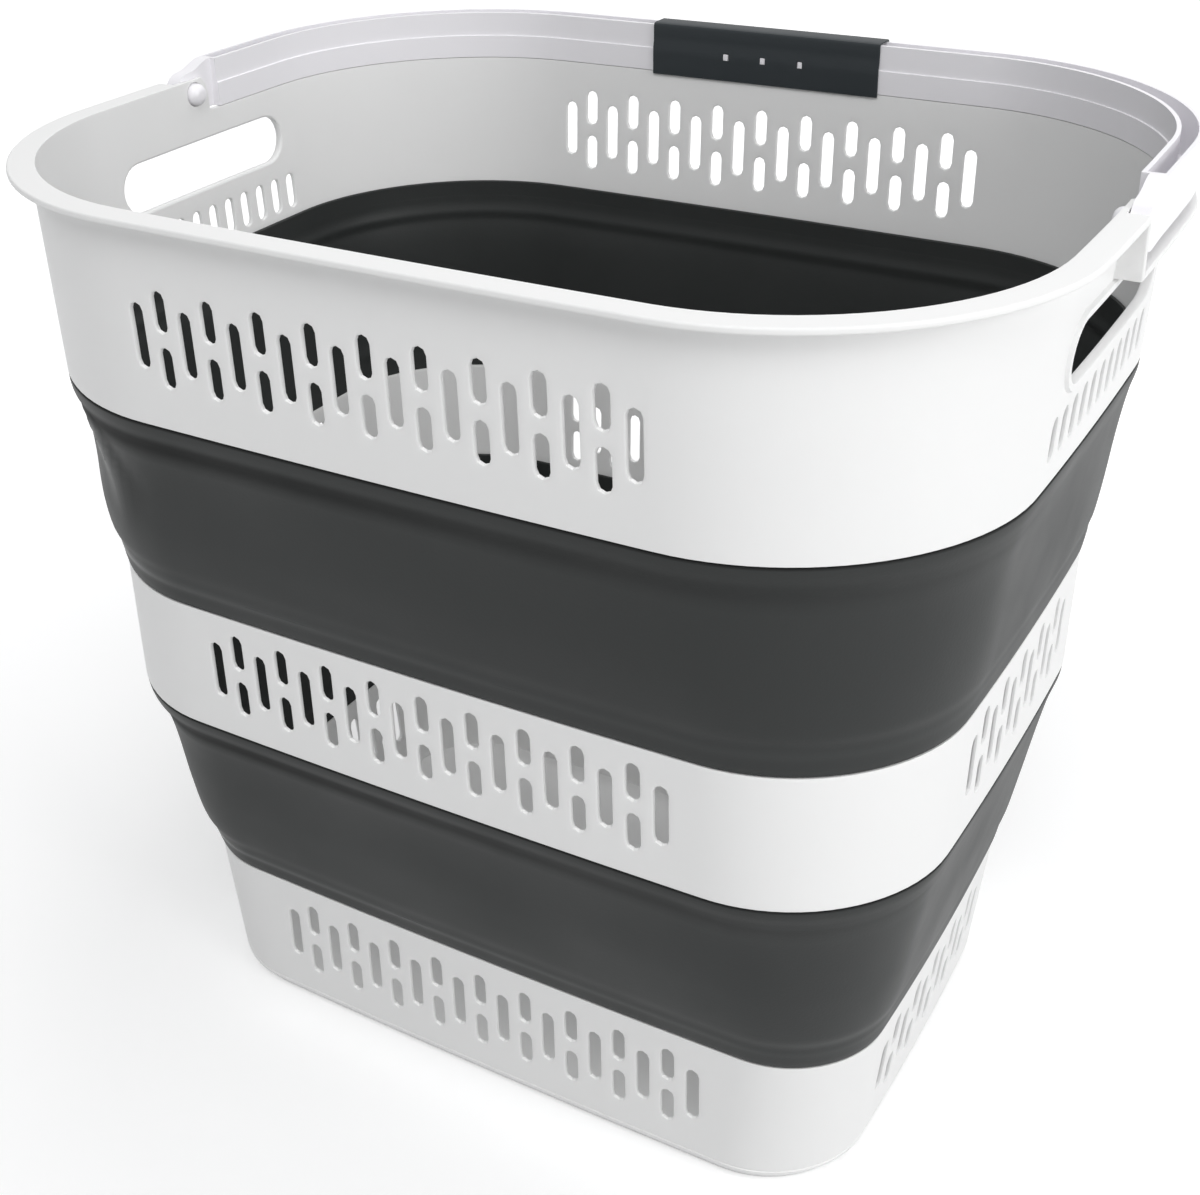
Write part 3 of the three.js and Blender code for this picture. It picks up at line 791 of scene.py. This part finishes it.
class HAMPER_OT_rim_band(bpy.types.Operator):
    """Makes the rim band: slots, hand holes, flange, risers and ears"""

    bl_idname = "hamper.rim_band"
    bl_label = "Rim band"

    frame_rings = 0.0, 0.3, 0.55, 0.82, 1.0
    outer_side = -0.0008
    hole_margin = 0.001
    ear_shoulder = 0.42
    slots_end = 0.7
    line_share = 0.01

    def execute(self, context):
        self.run, self.rim = Run(), sizes("rim")
        r = self.rim
        self.back_high = RIM_HIGH.z - r.back_drop
        self.back_low = self.back_high - r.back_thickness
        self.back_wall = RIM_HIGH.z - r.back_wall_drop
        self.flange_low = RIM_HIGH.z - r.flange_thickness
        self.pivot = pivot_height()
        bm = bmesh.new()
        self.sheet(bm)
        self.move_lines(bm)
        thicken(bm, sizes("walls").wall)
        self.flanges(bm)
        self.edges(bm)
        roll_up(bm, self.run, self.frame_shape, self.run.rim_plan)
        piece_from(bm, "rim_band_shell", "rim_band", "band_white", "rim")
        return {"FINISHED"}

    def sheet(self, bm):
        """Unrolled sheet: back wall's height all round, the rim's in front, ears at the pivots"""
        run, s = self.run, sizes("slots")
        row, side_row = RIM_LOW.z + s.rim_row, RIM_LOW.z + s.rim_side_row
        low, high = row - s.cell / 2, row + s.cell / 2
        side_low, side_high = side_row - s.cell / 4, side_row + s.cell / 4
        top = [self.back_low, self.back_high, self.back_wall]
        front_rows = [RIM_LOW.z] + steps(low, high, 8) + top
        side_rows = [RIM_LOW.z] + steps(side_low, side_high, 4)
        side_rows += steps(side_high, self.back_low, 5)[1:-1] + top
        upper = steps(self.back_wall, self.flange_low, 3) + [RIM_HIGH.z]
        for turn in (0, 1):
            side, corner, front, last = run.stretches(turn)
            lined_patch(bm, side, [RIM_LOW.z, side_low])
            lined_patch(bm, side, top)
            lined_patch(bm, front, [RIM_LOW.z, low])
            lined_patch(bm, front, [high] + top)
            lined_patch(bm, corner, side_rows, front_rows)
            lined_patch(bm, last, front_rows, side_rows)
            slot_rows(bm, side[0], s.side_columns, side_row, single=True)
            slot_rows(bm, front[0], s.front_columns, row)
            self.hand_hole(bm, side, side_high)
            self.ear(bm, turn * run.half, upper)
            lined_patch(bm, [x for x in side if run.depth(x) < -2 * run.step + NEAR], upper)
            if turn:
                for lines in (corner, front, last):
                    lined_patch(bm, lines, upper)
        finish_sheet(bm)

    def hand_hole(self, bm, lines, low):
        """Patch round a hand hole, with rings where its frame rises and falls"""
        r = self.rim
        centre = ((lines[0] + lines[-1]) / 2, RIM_HIGH.z - r.hole_drop)
        row_steps, column_steps = 5, len(lines) - 1
        count = 2 * (column_steps + row_steps)
        straight_steps = round((r.hole_length - r.hole_height) / self.run.step)
        straight_steps += (column_steps - straight_steps) % 2
        lead = (column_steps - straight_steps) // 2
        loops = [slot_places(count, row_steps + 2 * lead, centre, r.hole_length, r.hole_height,
                             share * r.frame_width) for share in self.frame_rings]
        rows = steps(low, self.back_low, row_steps)
        pierced_patch(bm, loops + [border_places(lines, rows, count - row_steps - lead)])

    def ear(self, bm, centre, rows):
        """Patch round a pivot hole"""
        radius = self.rim.pivot_hole
        columns = [centre + i * self.run.step for i in range(-2, 3)]
        hole = [(centre + radius * math.cos(a), self.pivot + radius * math.sin(a), 0)
                for a in steps(0, 2 * math.pi, 16)[:-1]]
        pierced_patch(bm, [hole, border_places(columns, rows, len(hole) - 2)])

    def move_lines(self, bm):
        """Moves the lines near each pivot to the riser's faces and to the ear's edge"""
        run, r = self.run, self.rim
        places = {-3: r.riser_front, -2: r.riser_rear, 2: r.ear}
        for vert in bm.verts:
            sign, local = run.local(vert.co.x)
            base, step = vert.co.x - local, run.depth(vert.co.x) / run.step
            line = round(step)
            if vert.co.y < self.back_low - NEAR or abs(step - line) > self.line_share:
                continue
            on_top = vert.co.y > RIM_HIGH.z - NEAR
            if line == 2 and vert.co.y > self.flange_low - NEAR:
                vert.co.y = RIM_HIGH.z if on_top else self.pivot + r.ear * math.sin(self.ear_shoulder)
                vert.co.x = base + sign * math.sqrt(r.ear ** 2 - (vert.co.y - self.pivot) ** 2)
            elif line in places:
                vert.co.x = base + sign * places[line]
            elif line == 1 and on_top:
                vert.co.x = base + sign * run.step / 2

    def flanges(self, bm):
        """Draws out the front flange, the two risers and the back flange as one band"""
        r = self.rim

        def under_flange(face, middle):
            depth = self.run.depth(middle.x)
            front = depth < r.riser_rear and middle.y > self.flange_low
            riser = r.riser_front < depth < r.riser_rear and middle.y > self.back_low
            back = depth > r.riser_front and self.back_low < middle.y < self.back_high
            return (front or riser or back) and face.normal.z > FLAT and abs(middle.z) < NEAR

        draw_out(bm, faces_where(bm, under_flange), (0, 0, r.flange_reach))
        turn_out(bm)

    def edges(self, bm):
        """Rounds the slots, the holes, the flange's roots and edge and the band's own edges"""
        run, r, s, w = self.run, self.rim, sizes("slots"), sizes("walls")
        for side, slot_round, hole_round in ((1, s.outer_round, w.edge), (-1, s.inner_round, r.hole_round)):
            slots, holes, roots, flange, rims = [], [], [], [], []
            for edge in brinks(bm, run, side):
                middle = (edge.verts[0].co + edge.verts[1].co) / 2
                if middle.z > r.flange_reach / 2:
                    flange.append(edge)
                elif any(face.calc_center_median().z > NEAR for face in edge.link_faces):
                    roots.append(edge)
                elif lies_at(edge, (RIM_LOW.z, RIM_HIGH.z, self.back_wall)):
                    rims.append(edge)
                elif abs(run.depth(middle.x)) < run.side and middle.y > RIM_LOW.z + s.cell * self.slots_end:
                    holes.append(edge)
                else:
                    slots.append(edge)
            round_edges(bm, slots, slot_round)
            round_edges(bm, holes, hole_round)
            round_edges(bm, roots, r.flange_root)
            round_edges(bm, flange, r.flange_edge, 3)
            round_edges(bm, rims, w.edge)

    def frame_shape(self, along, height, offset):
        """Raises the frame round each hand hole"""
        r = self.rim
        depth = abs(self.run.depth(along))
        over = max(0, depth - (r.hole_length - r.hole_height) / 2)
        away = math.hypot(over, height - (RIM_HIGH.z - r.hole_drop)) - r.hole_height / 2
        beside = depth > self.run.side or height > self.back_low + NEAR or offset < self.outer_side
        if beside or away < -self.hole_margin or away > r.frame_width:
            return offset
        return offset + r.frame_height * math.sqrt(max(0, 1 - (2 * away / r.frame_width - 1) ** 4))


class HAMPER_OT_carry_bail(bpy.types.Operator):
    """Makes the carry bail: open channel, cheeks, snap studs and raised squares"""

    bl_idname = "hamper.carry_bail"
    bl_label = "Carry bail"

    root_shares = 0.86, 0.72, 0.58, 0.44, 0.3, 0.15, 0
    round_angles = 12, 24, 36, 47, 57, 66, 74, 81, 86

    def execute(self, context):
        self.run, self.bail = Run(), sizes("bail")
        self.low, self.high = bail_heights()
        self.pivot = pivot_height()
        bm = bmesh.new()
        self.channel(bm)
        for turn in (0, 1):
            self.cheek(bm, turn)
        turn_out(bm)
        bmesh.ops.dissolve_degenerate(bm, edges=bm.edges[:], dist=WELD)
        round_edges(bm, square_edges(bm), self.bail.edge)
        weld(bm)
        bend(bm, self.run, plan=self.run.rim_plan)
        for side in (1, -1):
            self.stud(bm, side)
        for i in (-1, 0, 1):
            self.square(bm, i * self.bail.spacing)
        piece_from(bm, "carry_bail_shell", "carry_bail", "bail_white", "bail")
        return {"FINISHED"}

    def channel(self, bm):
        """Half-ring of stepped section, closed at its ends and hollowed from above"""
        run, b = self.run, self.bail
        inner, upper = -b.inset, -b.inset + b.step_depth
        step = self.high - b.step_drop
        section = [
            (b.outset, self.low), (b.outset, self.high), (b.outset - b.wall, self.high),
            (b.cheek_gap, self.high), (upper + b.wall, self.high), (upper, self.high),
            (upper, step), (inner, step), (inner, self.low), (b.cheek_gap, self.low),
        ]
        first, last = b.end, run.half - b.end
        side, corner, back, second = run.stretches(0)
        lines = [first, first + b.wall] + side[-8:-1] + corner[:-1] + back[:-1] + second[:-1]
        lines += run.stretches(1)[0][:8] + [last - b.wall, last]
        section_patch(bm, lines, section + section[:1])
        for end in (first, last):
            close_end(bm, 0, end)
            split = [v for v in bm.verts if abs(v.co.x - end) < NEAR and abs(v.co.z - b.cheek_gap) < NEAR]
            bmesh.ops.connect_verts(bm, verts=split)
        turn_out(bm)

        def in_trough(face, middle):
            inside = upper + b.wall < middle.z < b.outset - b.wall
            return face.normal.y > FLAT and inside and first + b.wall < middle.x < last - b.wall

        draw_out(bm, faces_where(bm, in_trough), (0, b.floor - b.height, 0))

    def cheek(self, bm, turn):
        """Draws the outer part of the channel's end forwards, round the pivot"""
        b, radius = self.bail, self.bail.cheek_radius
        base, sign = (self.run.half, -1) if turn else (0, 1)
        start = [f for f in bm.faces if abs(f.normal.x) > FLAT
                 and all(abs(v.co.x - base - sign * b.end) < NEAR for v in f.verts)
                 and f.calc_center_median().z > b.cheek_gap + NEAR]
        if len(start) != 1:
            raise RuntimeError("the bail's end has no face for its cheek")
        face = start[0]
        places = [b.end * share for share in self.root_shares]
        places += [-radius * math.sin(math.radians(angle)) for angle in self.round_angles]
        middle = (self.low + self.high) / 2
        for y in places:
            half = math.sqrt(radius ** 2 - min(0, y) ** 2)
            ramp = ease(y, 0, b.end)
            high = self.pivot + half + ramp * (self.high - self.pivot - radius)
            low = self.pivot - half + ramp * (self.low - self.pivot + radius)
            face = bmesh.ops.extrude_discrete_faces(bm, faces=[face])["faces"][0]
            for vert in face.verts:
                vert.co.x = base + sign * y
                vert.co.y = high if vert.co.y > middle else low
            middle = (high + low) / 2

    def stud(self, bm, side):
        """Stud with a rounded tip, from inside a cheek through the rim's side"""
        b, w = self.bail, sizes("walls")
        root = w.rim[0] + b.cheek_gap + b.wall
        tip = w.rim[0] - w.wall - b.stud_reach
        rest = set(bm.verts)
        made = bmesh.ops.create_cone(bm, cap_ends=True, cap_tris=False, segments=32, radius1=b.stud_radius,
                                     radius2=b.stud_radius, depth=root - tip)["verts"]
        rim = {edge for vert in made for edge in vert.link_edges if all(v.co.z > 0 for v in edge.verts)}
        round_edges(bm, rim, b.stud_round, 6)
        made = [vert for vert in bm.verts if vert not in rest]
        bmesh.ops.rotate(bm, verts=made, cent=(0, 0, 0), matrix=Matrix.Rotation(-side * math.pi / 2, 3, "Y"))
        bmesh.ops.translate(bm, verts=made, vec=(side * (root + tip) / 2, 0, self.pivot))

    def square(self, bm, place):
        """Raised square that shows through a window of the grip"""
        b = self.bail
        wall = sizes("walls").rim[1] - b.inset
        inner, outer = wall - b.gap - b.skin, wall + b.wall / 2
        made = bmesh.ops.create_cube(bm, size=1)["verts"]
        bmesh.ops.scale(bm, verts=made, vec=(b.square_width, outer - inner, b.square_height))
        bmesh.ops.translate(bm, verts=made, vec=(place, (inner + outer) / 2, self.high - b.square_drop))
        round_edges(bm, {edge for vert in made for edge in vert.link_edges}, TRIM_ROUND)


class HAMPER_OT_bail_grip(bpy.types.Operator):
    """Makes the soft grip over the bail, with its windows"""

    bl_idname = "hamper.bail_grip"
    bl_label = "Bail grip"

    hem_line = 0.004
    side_line = 0.006
    end_lines = 0, 0.002, 0.013, 0.025
    corner_cut = 0.29

    def execute(self, context):
        run, b = Run(), sizes("bail")
        low, high = bail_heights()
        around = b.gap + b.skin
        hem, top = low - b.overhang, high + around
        outer, inner = b.outset + around, -b.inset - around
        upper = inner + b.step_depth
        square = high - b.square_drop
        window = b.square_height / 2 + b.window_gap
        window_half = b.square_width / 2 + b.window_gap
        soft, cut = b.grip_round, b.grip_round * self.corner_cut
        profile = [
            (outer, hem), (outer, hem + self.side_line), (outer, top - self.side_line), (outer, top - soft),
            (outer - cut, top - cut), (outer - soft, top), ((outer + upper) / 2, top), (upper + soft, top),
            (upper + cut, top - cut), (upper, top - soft), (upper, top - self.side_line),
            (upper, square + window + b.crease), (inner, square + window), (inner, square - window),
            (inner, hem + self.hem_line), (inner, hem),
        ]
        lines = [sign * (GRIP_HIGH.x - line) for line in self.end_lines for sign in (-1, 1)]
        lines += [b.spacing * share for share in (-0.67, -0.33, 0.33, 0.67)]
        lines += [i * b.spacing + sign * window_half for i in (-1, 0, 1) for sign in (-1, 1)]
        middle = run.half / 2
        bm = bmesh.new()
        section_patch(bm, sorted(middle + line for line in lines), profile)

        def in_window(face, spot):
            across = min(abs(spot.x - middle - i * b.spacing) for i in (-1, 0, 1))
            return spot.z < upper + NEAR and abs(spot.y - square) < window and across < window_half

        bmesh.ops.delete(bm, geom=faces_where(bm, in_window), context="FACES")
        turn_out(bm)
        if max(bm.faces, key=lambda f: f.calc_center_median().z).normal.z < 0:
            bmesh.ops.reverse_faces(bm, faces=bm.faces[:])
        thicken(bm, b.skin)
        round_edges(bm, square_edges(bm), TRIM_ROUND)
        bend(bm, run, plan=run.rim_plan)
        piece_from(bm, "bail_grip_skin", "bail_grip", "grip_rubber", "bail")
        return {"FINISHED"}


class HAMPER_OT_sleeves(bpy.types.Operator):
    """Makes the two folding rubber sleeves"""

    bl_idname = "hamper.sleeves"
    bl_label = "Folding sleeves"

    fine = 0.0012
    coarse = 0.0036
    turn_shares = 0, 0.04, 0.15, 0.35, 0.65, 1
    lip_edge = 0.0005
    crest = 0.88
    # strengths of the painted highlight and the painted shade in the sleeves' colour
    paler, darker = 0.35, 0.5
    waves = (0.00025, 5, 0.6, 0), (0.0002, 11, 2.1, 40)

    def execute(self, context):
        self.run, self.sizes = Run(), sizes("sleeves")
        self.sleeve("lower_sleeve", "base", "middle", TRAY_HIGH.z, MIDDLE_LOW.z)
        self.sleeve("upper_sleeve", "middle", "rim", MIDDLE_HIGH.z, RIM_LOW.z)
        return {"FINISHED"}

    def levels(self, low, high):
        """Heights of the rows: close together at the foot and the ledge"""
        v = self.sizes
        turn = [v.turn * share for share in self.turn_shares]
        rows = [low + v.gap + t for t in turn]
        stops = rows[-1], low + v.foot * 1.8, high - v.valley_drop * 1.3, high - v.gap - v.turn
        for start, end, step in zip(stops, stops[1:], (self.fine, self.coarse, self.fine)):
            rows += steps(start, end, round((end - start) / step))[1:]
        return rows[:-1] + [high - v.gap - t for t in reversed(turn)]

    def section(self, low, high):
        """Closed section with turned edges, and a lip inside the upper band"""
        v = self.sizes
        rows = self.levels(low, high)
        seat, shoulder = rows[0], rows[-1]
        outer = []
        for h in rows:
            near = min(v.turn, h - seat, shoulder - h) / v.turn
            outer.append((-v.turn * (1 - math.sqrt(1 - (1 - near) ** 2)), h))
        lip_outer = -sizes("walls").wall - v.gap
        lip_inner = lip_outer - v.lip_thickness
        top, edge = high + v.lip_height, self.lip_edge
        lip = [(lip_outer, shoulder), (lip_outer, top - edge), (lip_outer - edge, top),
               (lip_inner + edge, top), (lip_inner, top - edge), (lip_inner, shoulder)]
        inner = []
        for h in reversed(rows[:-1]):
            share = ease(high - h, v.ledge, v.ledge + v.lip_fade)
            inner.append((lip_inner - share * (lip_inner + v.thickness), h))
        return outer + lip + inner + outer[:1]

    def sleeve(self, name, lower_body, upper_body, low, high):
        """One sleeve between its two bands, built as it stands at rest; the real one folds as the bands close
        """
        bm = bmesh.new()
        for turn in (0, 1):
            for lines in self.run.stretches(turn):
                section_patch(bm, lines, self.section(low, high))
        weld(bm)
        # paints shade and highlight into the rubber's colour, kept per vertex
        self.set_painted_shading(bm, low, high)
        roll_up(bm, self.run, lambda along, height, offset: offset + self.soft_form(along, height, low, high))
        piece = piece_from(bm, name + "_rubber", name, "sleeve_rubber")
        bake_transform(piece)

    def fullness(self, along):
        """One at the front left corner, nothing at the back right one"""
        run = self.run
        return 0.5 + 0.5 * math.cos(math.pi * run.apart(along, run.corners[run.front_left]) / run.half)

    def corner_fold(self, along, low, down):
        """Soft upright fold at the upper sleeve's front left corner: one on its crest, and less than nothing
        in the dip beside it"""
        run, v = self.run, self.sizes
        if low < MIDDLE_LOW.z:
            return 0
        slant = run.corner * (0.08 + 0.17 * ease(down, v.ledge, v.fold_length))
        off = (along - run.corners[run.front_left] - slant) / v.fold_width
        fade = hump(down, v.ledge, v.valley_drop * 1.3, v.fold_length * 0.8, v.fold_length * 1.6)
        return fade * (bell(off, 0, 1) - 0.5 * bell(off, 2.6, 1.5))

    def set_painted_shading(self, bm, low, high):
        """Painted shading of the rubber, kept per vertex: a half on the panel, less where shade is painted in
        its hollows and seams, more where highlights are painted on its ridges
        """
        v = self.sizes
        layer = bm.verts.layers.float.new("tone")
        for vert in bm.verts:
            along, height, offset = vert.co
            vert[layer] = 0.5
            if offset < -v.thickness * 0.6:
                continue
            up, down, full = height - low, high - height, self.fullness(along)
            # painted shade in the valley under the ledge, and at the seams where the sleeve meets each band
            valley_shade = hump(down, v.ledge * 0.6, v.valley_drop * 0.75, v.valley_drop * 0.9, v.valley_drop * 1.6)
            seam = 1 - ease(min(up, down), 2 * v.gap, v.turn * 1.4)
            ridge = full * bell(up, v.foot * self.crest, v.foot * 0.16)
            # painted highlight on the foot's ridge and on the corner fold's crest, painted shade in the dip
            # beside that fold
            vert[layer] += self.paler * (ridge + self.corner_fold(along, low, down))
            # painted shade in the seams and the valley, the valley's strongest where the sleeve is fullest
            vert[layer] -= self.darker * max(seam, valley_shade * full ** 1.5)

    def soft_form(self, along, height, low, high):
        """Foot, ridge and belly below, ledge and valley above, fullest at the front left, and slow waves"""
        run, v = self.run, self.sizes
        up, down, full = height - low, high - height, self.fullness(along)
        form = v.foot_swell * hump(up, 0, v.foot / 3, v.foot * 0.7, v.foot * 1.1)
        form += v.ridge * full * bell(up, v.foot * self.crest, v.foot * 0.13)
        form += v.ledge_swell * hump(down, 0, v.ledge / 2, v.ledge / 2, v.ledge)
        fall = 0.6 * ease(down, v.ledge * 0.75, v.valley_drop)
        fall += 0.4 * ease(down, v.ledge, v.valley_drop * 1.6)
        fall *= 1 - ease(down, v.valley_drop * 1.5, v.valley_fade)
        form -= v.valley * (0.3 + 0.7 * full) * fall
        turns = math.pi * along / run.half
        waves = sum(rise * math.sin(count * turns + start + slant * height)
                    for rise, count, start, slant in self.waves)
        form += waves * ease(up, v.foot, v.foot * 2.5) * ease(down, v.ledge, v.ledge * 3)
        lift = (up - v.belly_height) / v.belly_height
        belly = math.exp(-(1.1 * lift if lift > 0 else 2 * lift) ** 2)
        swell = v.belly
        for corner in run.corners:
            near = bell(run.apart(along, corner), 0, run.corner * 0.3)
            swell += v.corner_belly * (0.25 + 0.75 * full) * near
        form += belly * swell * ease(up, v.foot, v.foot * 1.6)
        return form + v.fold * self.corner_fold(along, low, down)


class HAMPER_OT_stage(bpy.types.Operator):
    """Makes the floor, the lights and the camera"""

    bl_idname = "hamper.stage"
    bl_label = "Stage"

    floor_size = 6
    glow_from, glow_to = 0.25, 1.2
    aim = 0, 0, 0.2
    camera_place = 0.3497, -0.6240, 0.6099
    camera_turn = 63.757, 1.536, 31.0

    def execute(self, context):
        bm = bmesh.new()
        bmesh.ops.create_grid(bm, x_segments=4, y_segments=4, size=self.floor_size)
        plane = mesh_object(bm, "studio_floor", self.floor_material())
        self.world()
        self.lamp("key", (1.9, -0.3, 1.1), size=1.4, power=19.0)
        self.lamp("front", (0.4, -1.4, 2.2), size=1.4, power=21.0)
        self.lamp("back", (0.15, 1.0, 2.3), size=1.6, power=13.0)
        self.camera()
        context.scene.view_settings.view_transform = "Standard"
        return {"FINISHED"}

    def seen_plainly(self, tree):
        """One for rays from the camera and for those that a glossy or clear surface sends on"""
        rays = node(tree, "ShaderNodeLightPath", (-700, 0), {}).outputs
        first = node(tree, "ShaderNodeMath", (-500, 0), {
            0: rays["Is Camera Ray"], 1: rays["Is Glossy Ray"]}, operation="MAXIMUM")
        second = node(tree, "ShaderNodeMath", (-300, 0), {
            0: first.outputs[0], 1: rays["Is Transmission Ray"]}, operation="MAXIMUM")
        return second.outputs[0]

    def floor_material(self):
        """Matt white that glows a little where it is seen plainly, so that it goes over into the backdrop"""
        f = sizes("finish")
        material = bpy.data.materials.new("studio_floor")
        tree = fresh_tree(material)
        place = node(tree, "ShaderNodeTexCoord", (-700, -300), {})
        away = node(tree, "ShaderNodeVectorMath", (-500, -300), {
            0: place.outputs["Object"]}, operation="LENGTH")
        rise = node(tree, "ShaderNodeMapRange", (-300, -300), {
            "Value": away.outputs["Value"], "From Min": self.glow_from, "From Max": self.glow_to,
            "To Min": f.floor_glow, "To Max": f.far_glow})
        strength = node(tree, "ShaderNodeMath", (-120, -100), {
            0: self.seen_plainly(tree), 1: rise.outputs["Result"]}, operation="MULTIPLY")
        glow = node(tree, "ShaderNodeEmission", (0, -100), {"Strength": strength.outputs[0]})
        matt = node(tree, "ShaderNodeBsdfDiffuse", (0, 100), {"Color": (*f.floor, 1)})
        both = node(tree, "ShaderNodeAddShader", (400, 0), {0: matt.outputs[0], 1: glow.outputs[0]})
        node(tree, "ShaderNodeOutputMaterial", (600, 0), {"Surface": both.outputs[0]})
        return material

    def world(self):
        """Soft room light, white where it is seen plainly"""
        f = sizes("finish")
        world = bpy.data.worlds.new("studio")
        bpy.context.scene.world = world
        tree = fresh_tree(world)
        soft, plain = (
            node(tree, "ShaderNodeBackground", (100, y), {"Color": (*tint, 1), "Strength": strength})
            for y, tint, strength in ((100, f.room, f.room_light), (-100, (1, 1, 1), 1.0)))
        mix = node(tree, "ShaderNodeMixShader", (400, 0), {
            0: self.seen_plainly(tree), 1: soft.outputs[0], 2: plain.outputs[0]})
        node(tree, "ShaderNodeOutputWorld", (600, 0), {"Surface": mix.outputs[0]})

    def lamp(self, name, place, size, power):
        light = bpy.data.lights.new(name, "AREA")
        light.shape, light.size, light.energy = "DISK", size, power
        lamp = put_in_scene(name, light)
        lamp.location = place
        lamp.rotation_euler = (Vector(self.aim) - Vector(place)).to_track_quat("-Z", "Y").to_euler()

    def camera(self):
        data = bpy.data.cameras.new("camera")
        data.lens, data.sensor_width = 53.37, 36
        data.shift_x, data.shift_y = 0.0582, -0.0968
        data.clip_start, data.clip_end = 0.05, 50
        camera = put_in_scene("camera", data)
        camera.location = self.camera_place
        camera.rotation_euler = [math.radians(angle) for angle in self.camera_turn]
        bpy.context.scene.camera = camera


class HAMPER_PT_panel(bpy.types.Panel):
    """Lists the hamper's pieces"""

    bl_idname = "HAMPER_PT_panel"
    bl_label = "Hamper"
    bl_space_type = "VIEW_3D"
    bl_region_type = "UI"
    bl_category = "Hamper"

    def draw(self, context):
        for operator in PIECES:
            self.layout.operator(operator.bl_idname)


GROUPS = {
    "hamper_walls": HamperWalls,
    "hamper_slots": HamperSlots,
    "hamper_foot": HamperFoot,
    "hamper_rim": HamperRim,
    "hamper_bail": HamperBail,
    "hamper_sleeves": HamperSleeves,
    "hamper_finish": HamperFinish,
}
PIECES = [
    HAMPER_OT_base_tray,
    HAMPER_OT_sleeves,
    HAMPER_OT_middle_band,
    HAMPER_OT_rim_band,
    HAMPER_OT_carry_bail,
    HAMPER_OT_bail_grip,
    HAMPER_OT_stage,
]


def register():
    for made in (*GROUPS.values(), *PIECES, HAMPER_PT_panel):
        bpy.utils.register_class(made)
    for name, group in GROUPS.items():
        setattr(bpy.types.Scene, name, PointerProperty(type=group))


def unregister():
    for name in GROUPS:
        delattr(bpy.types.Scene, name)
    for made in (HAMPER_PT_panel, *reversed(PIECES), *GROUPS.values()):
        bpy.utils.unregister_class(made)


def main():
    register()
    bpy.ops.hamper.base_tray()
    bpy.ops.hamper.sleeves()
    bpy.ops.hamper.middle_band()
    bpy.ops.hamper.rim_band()
    bpy.ops.hamper.carry_bail()
    bpy.ops.hamper.bail_grip()
    bpy.ops.hamper.stage()


if __name__ == "__main__":
    main()
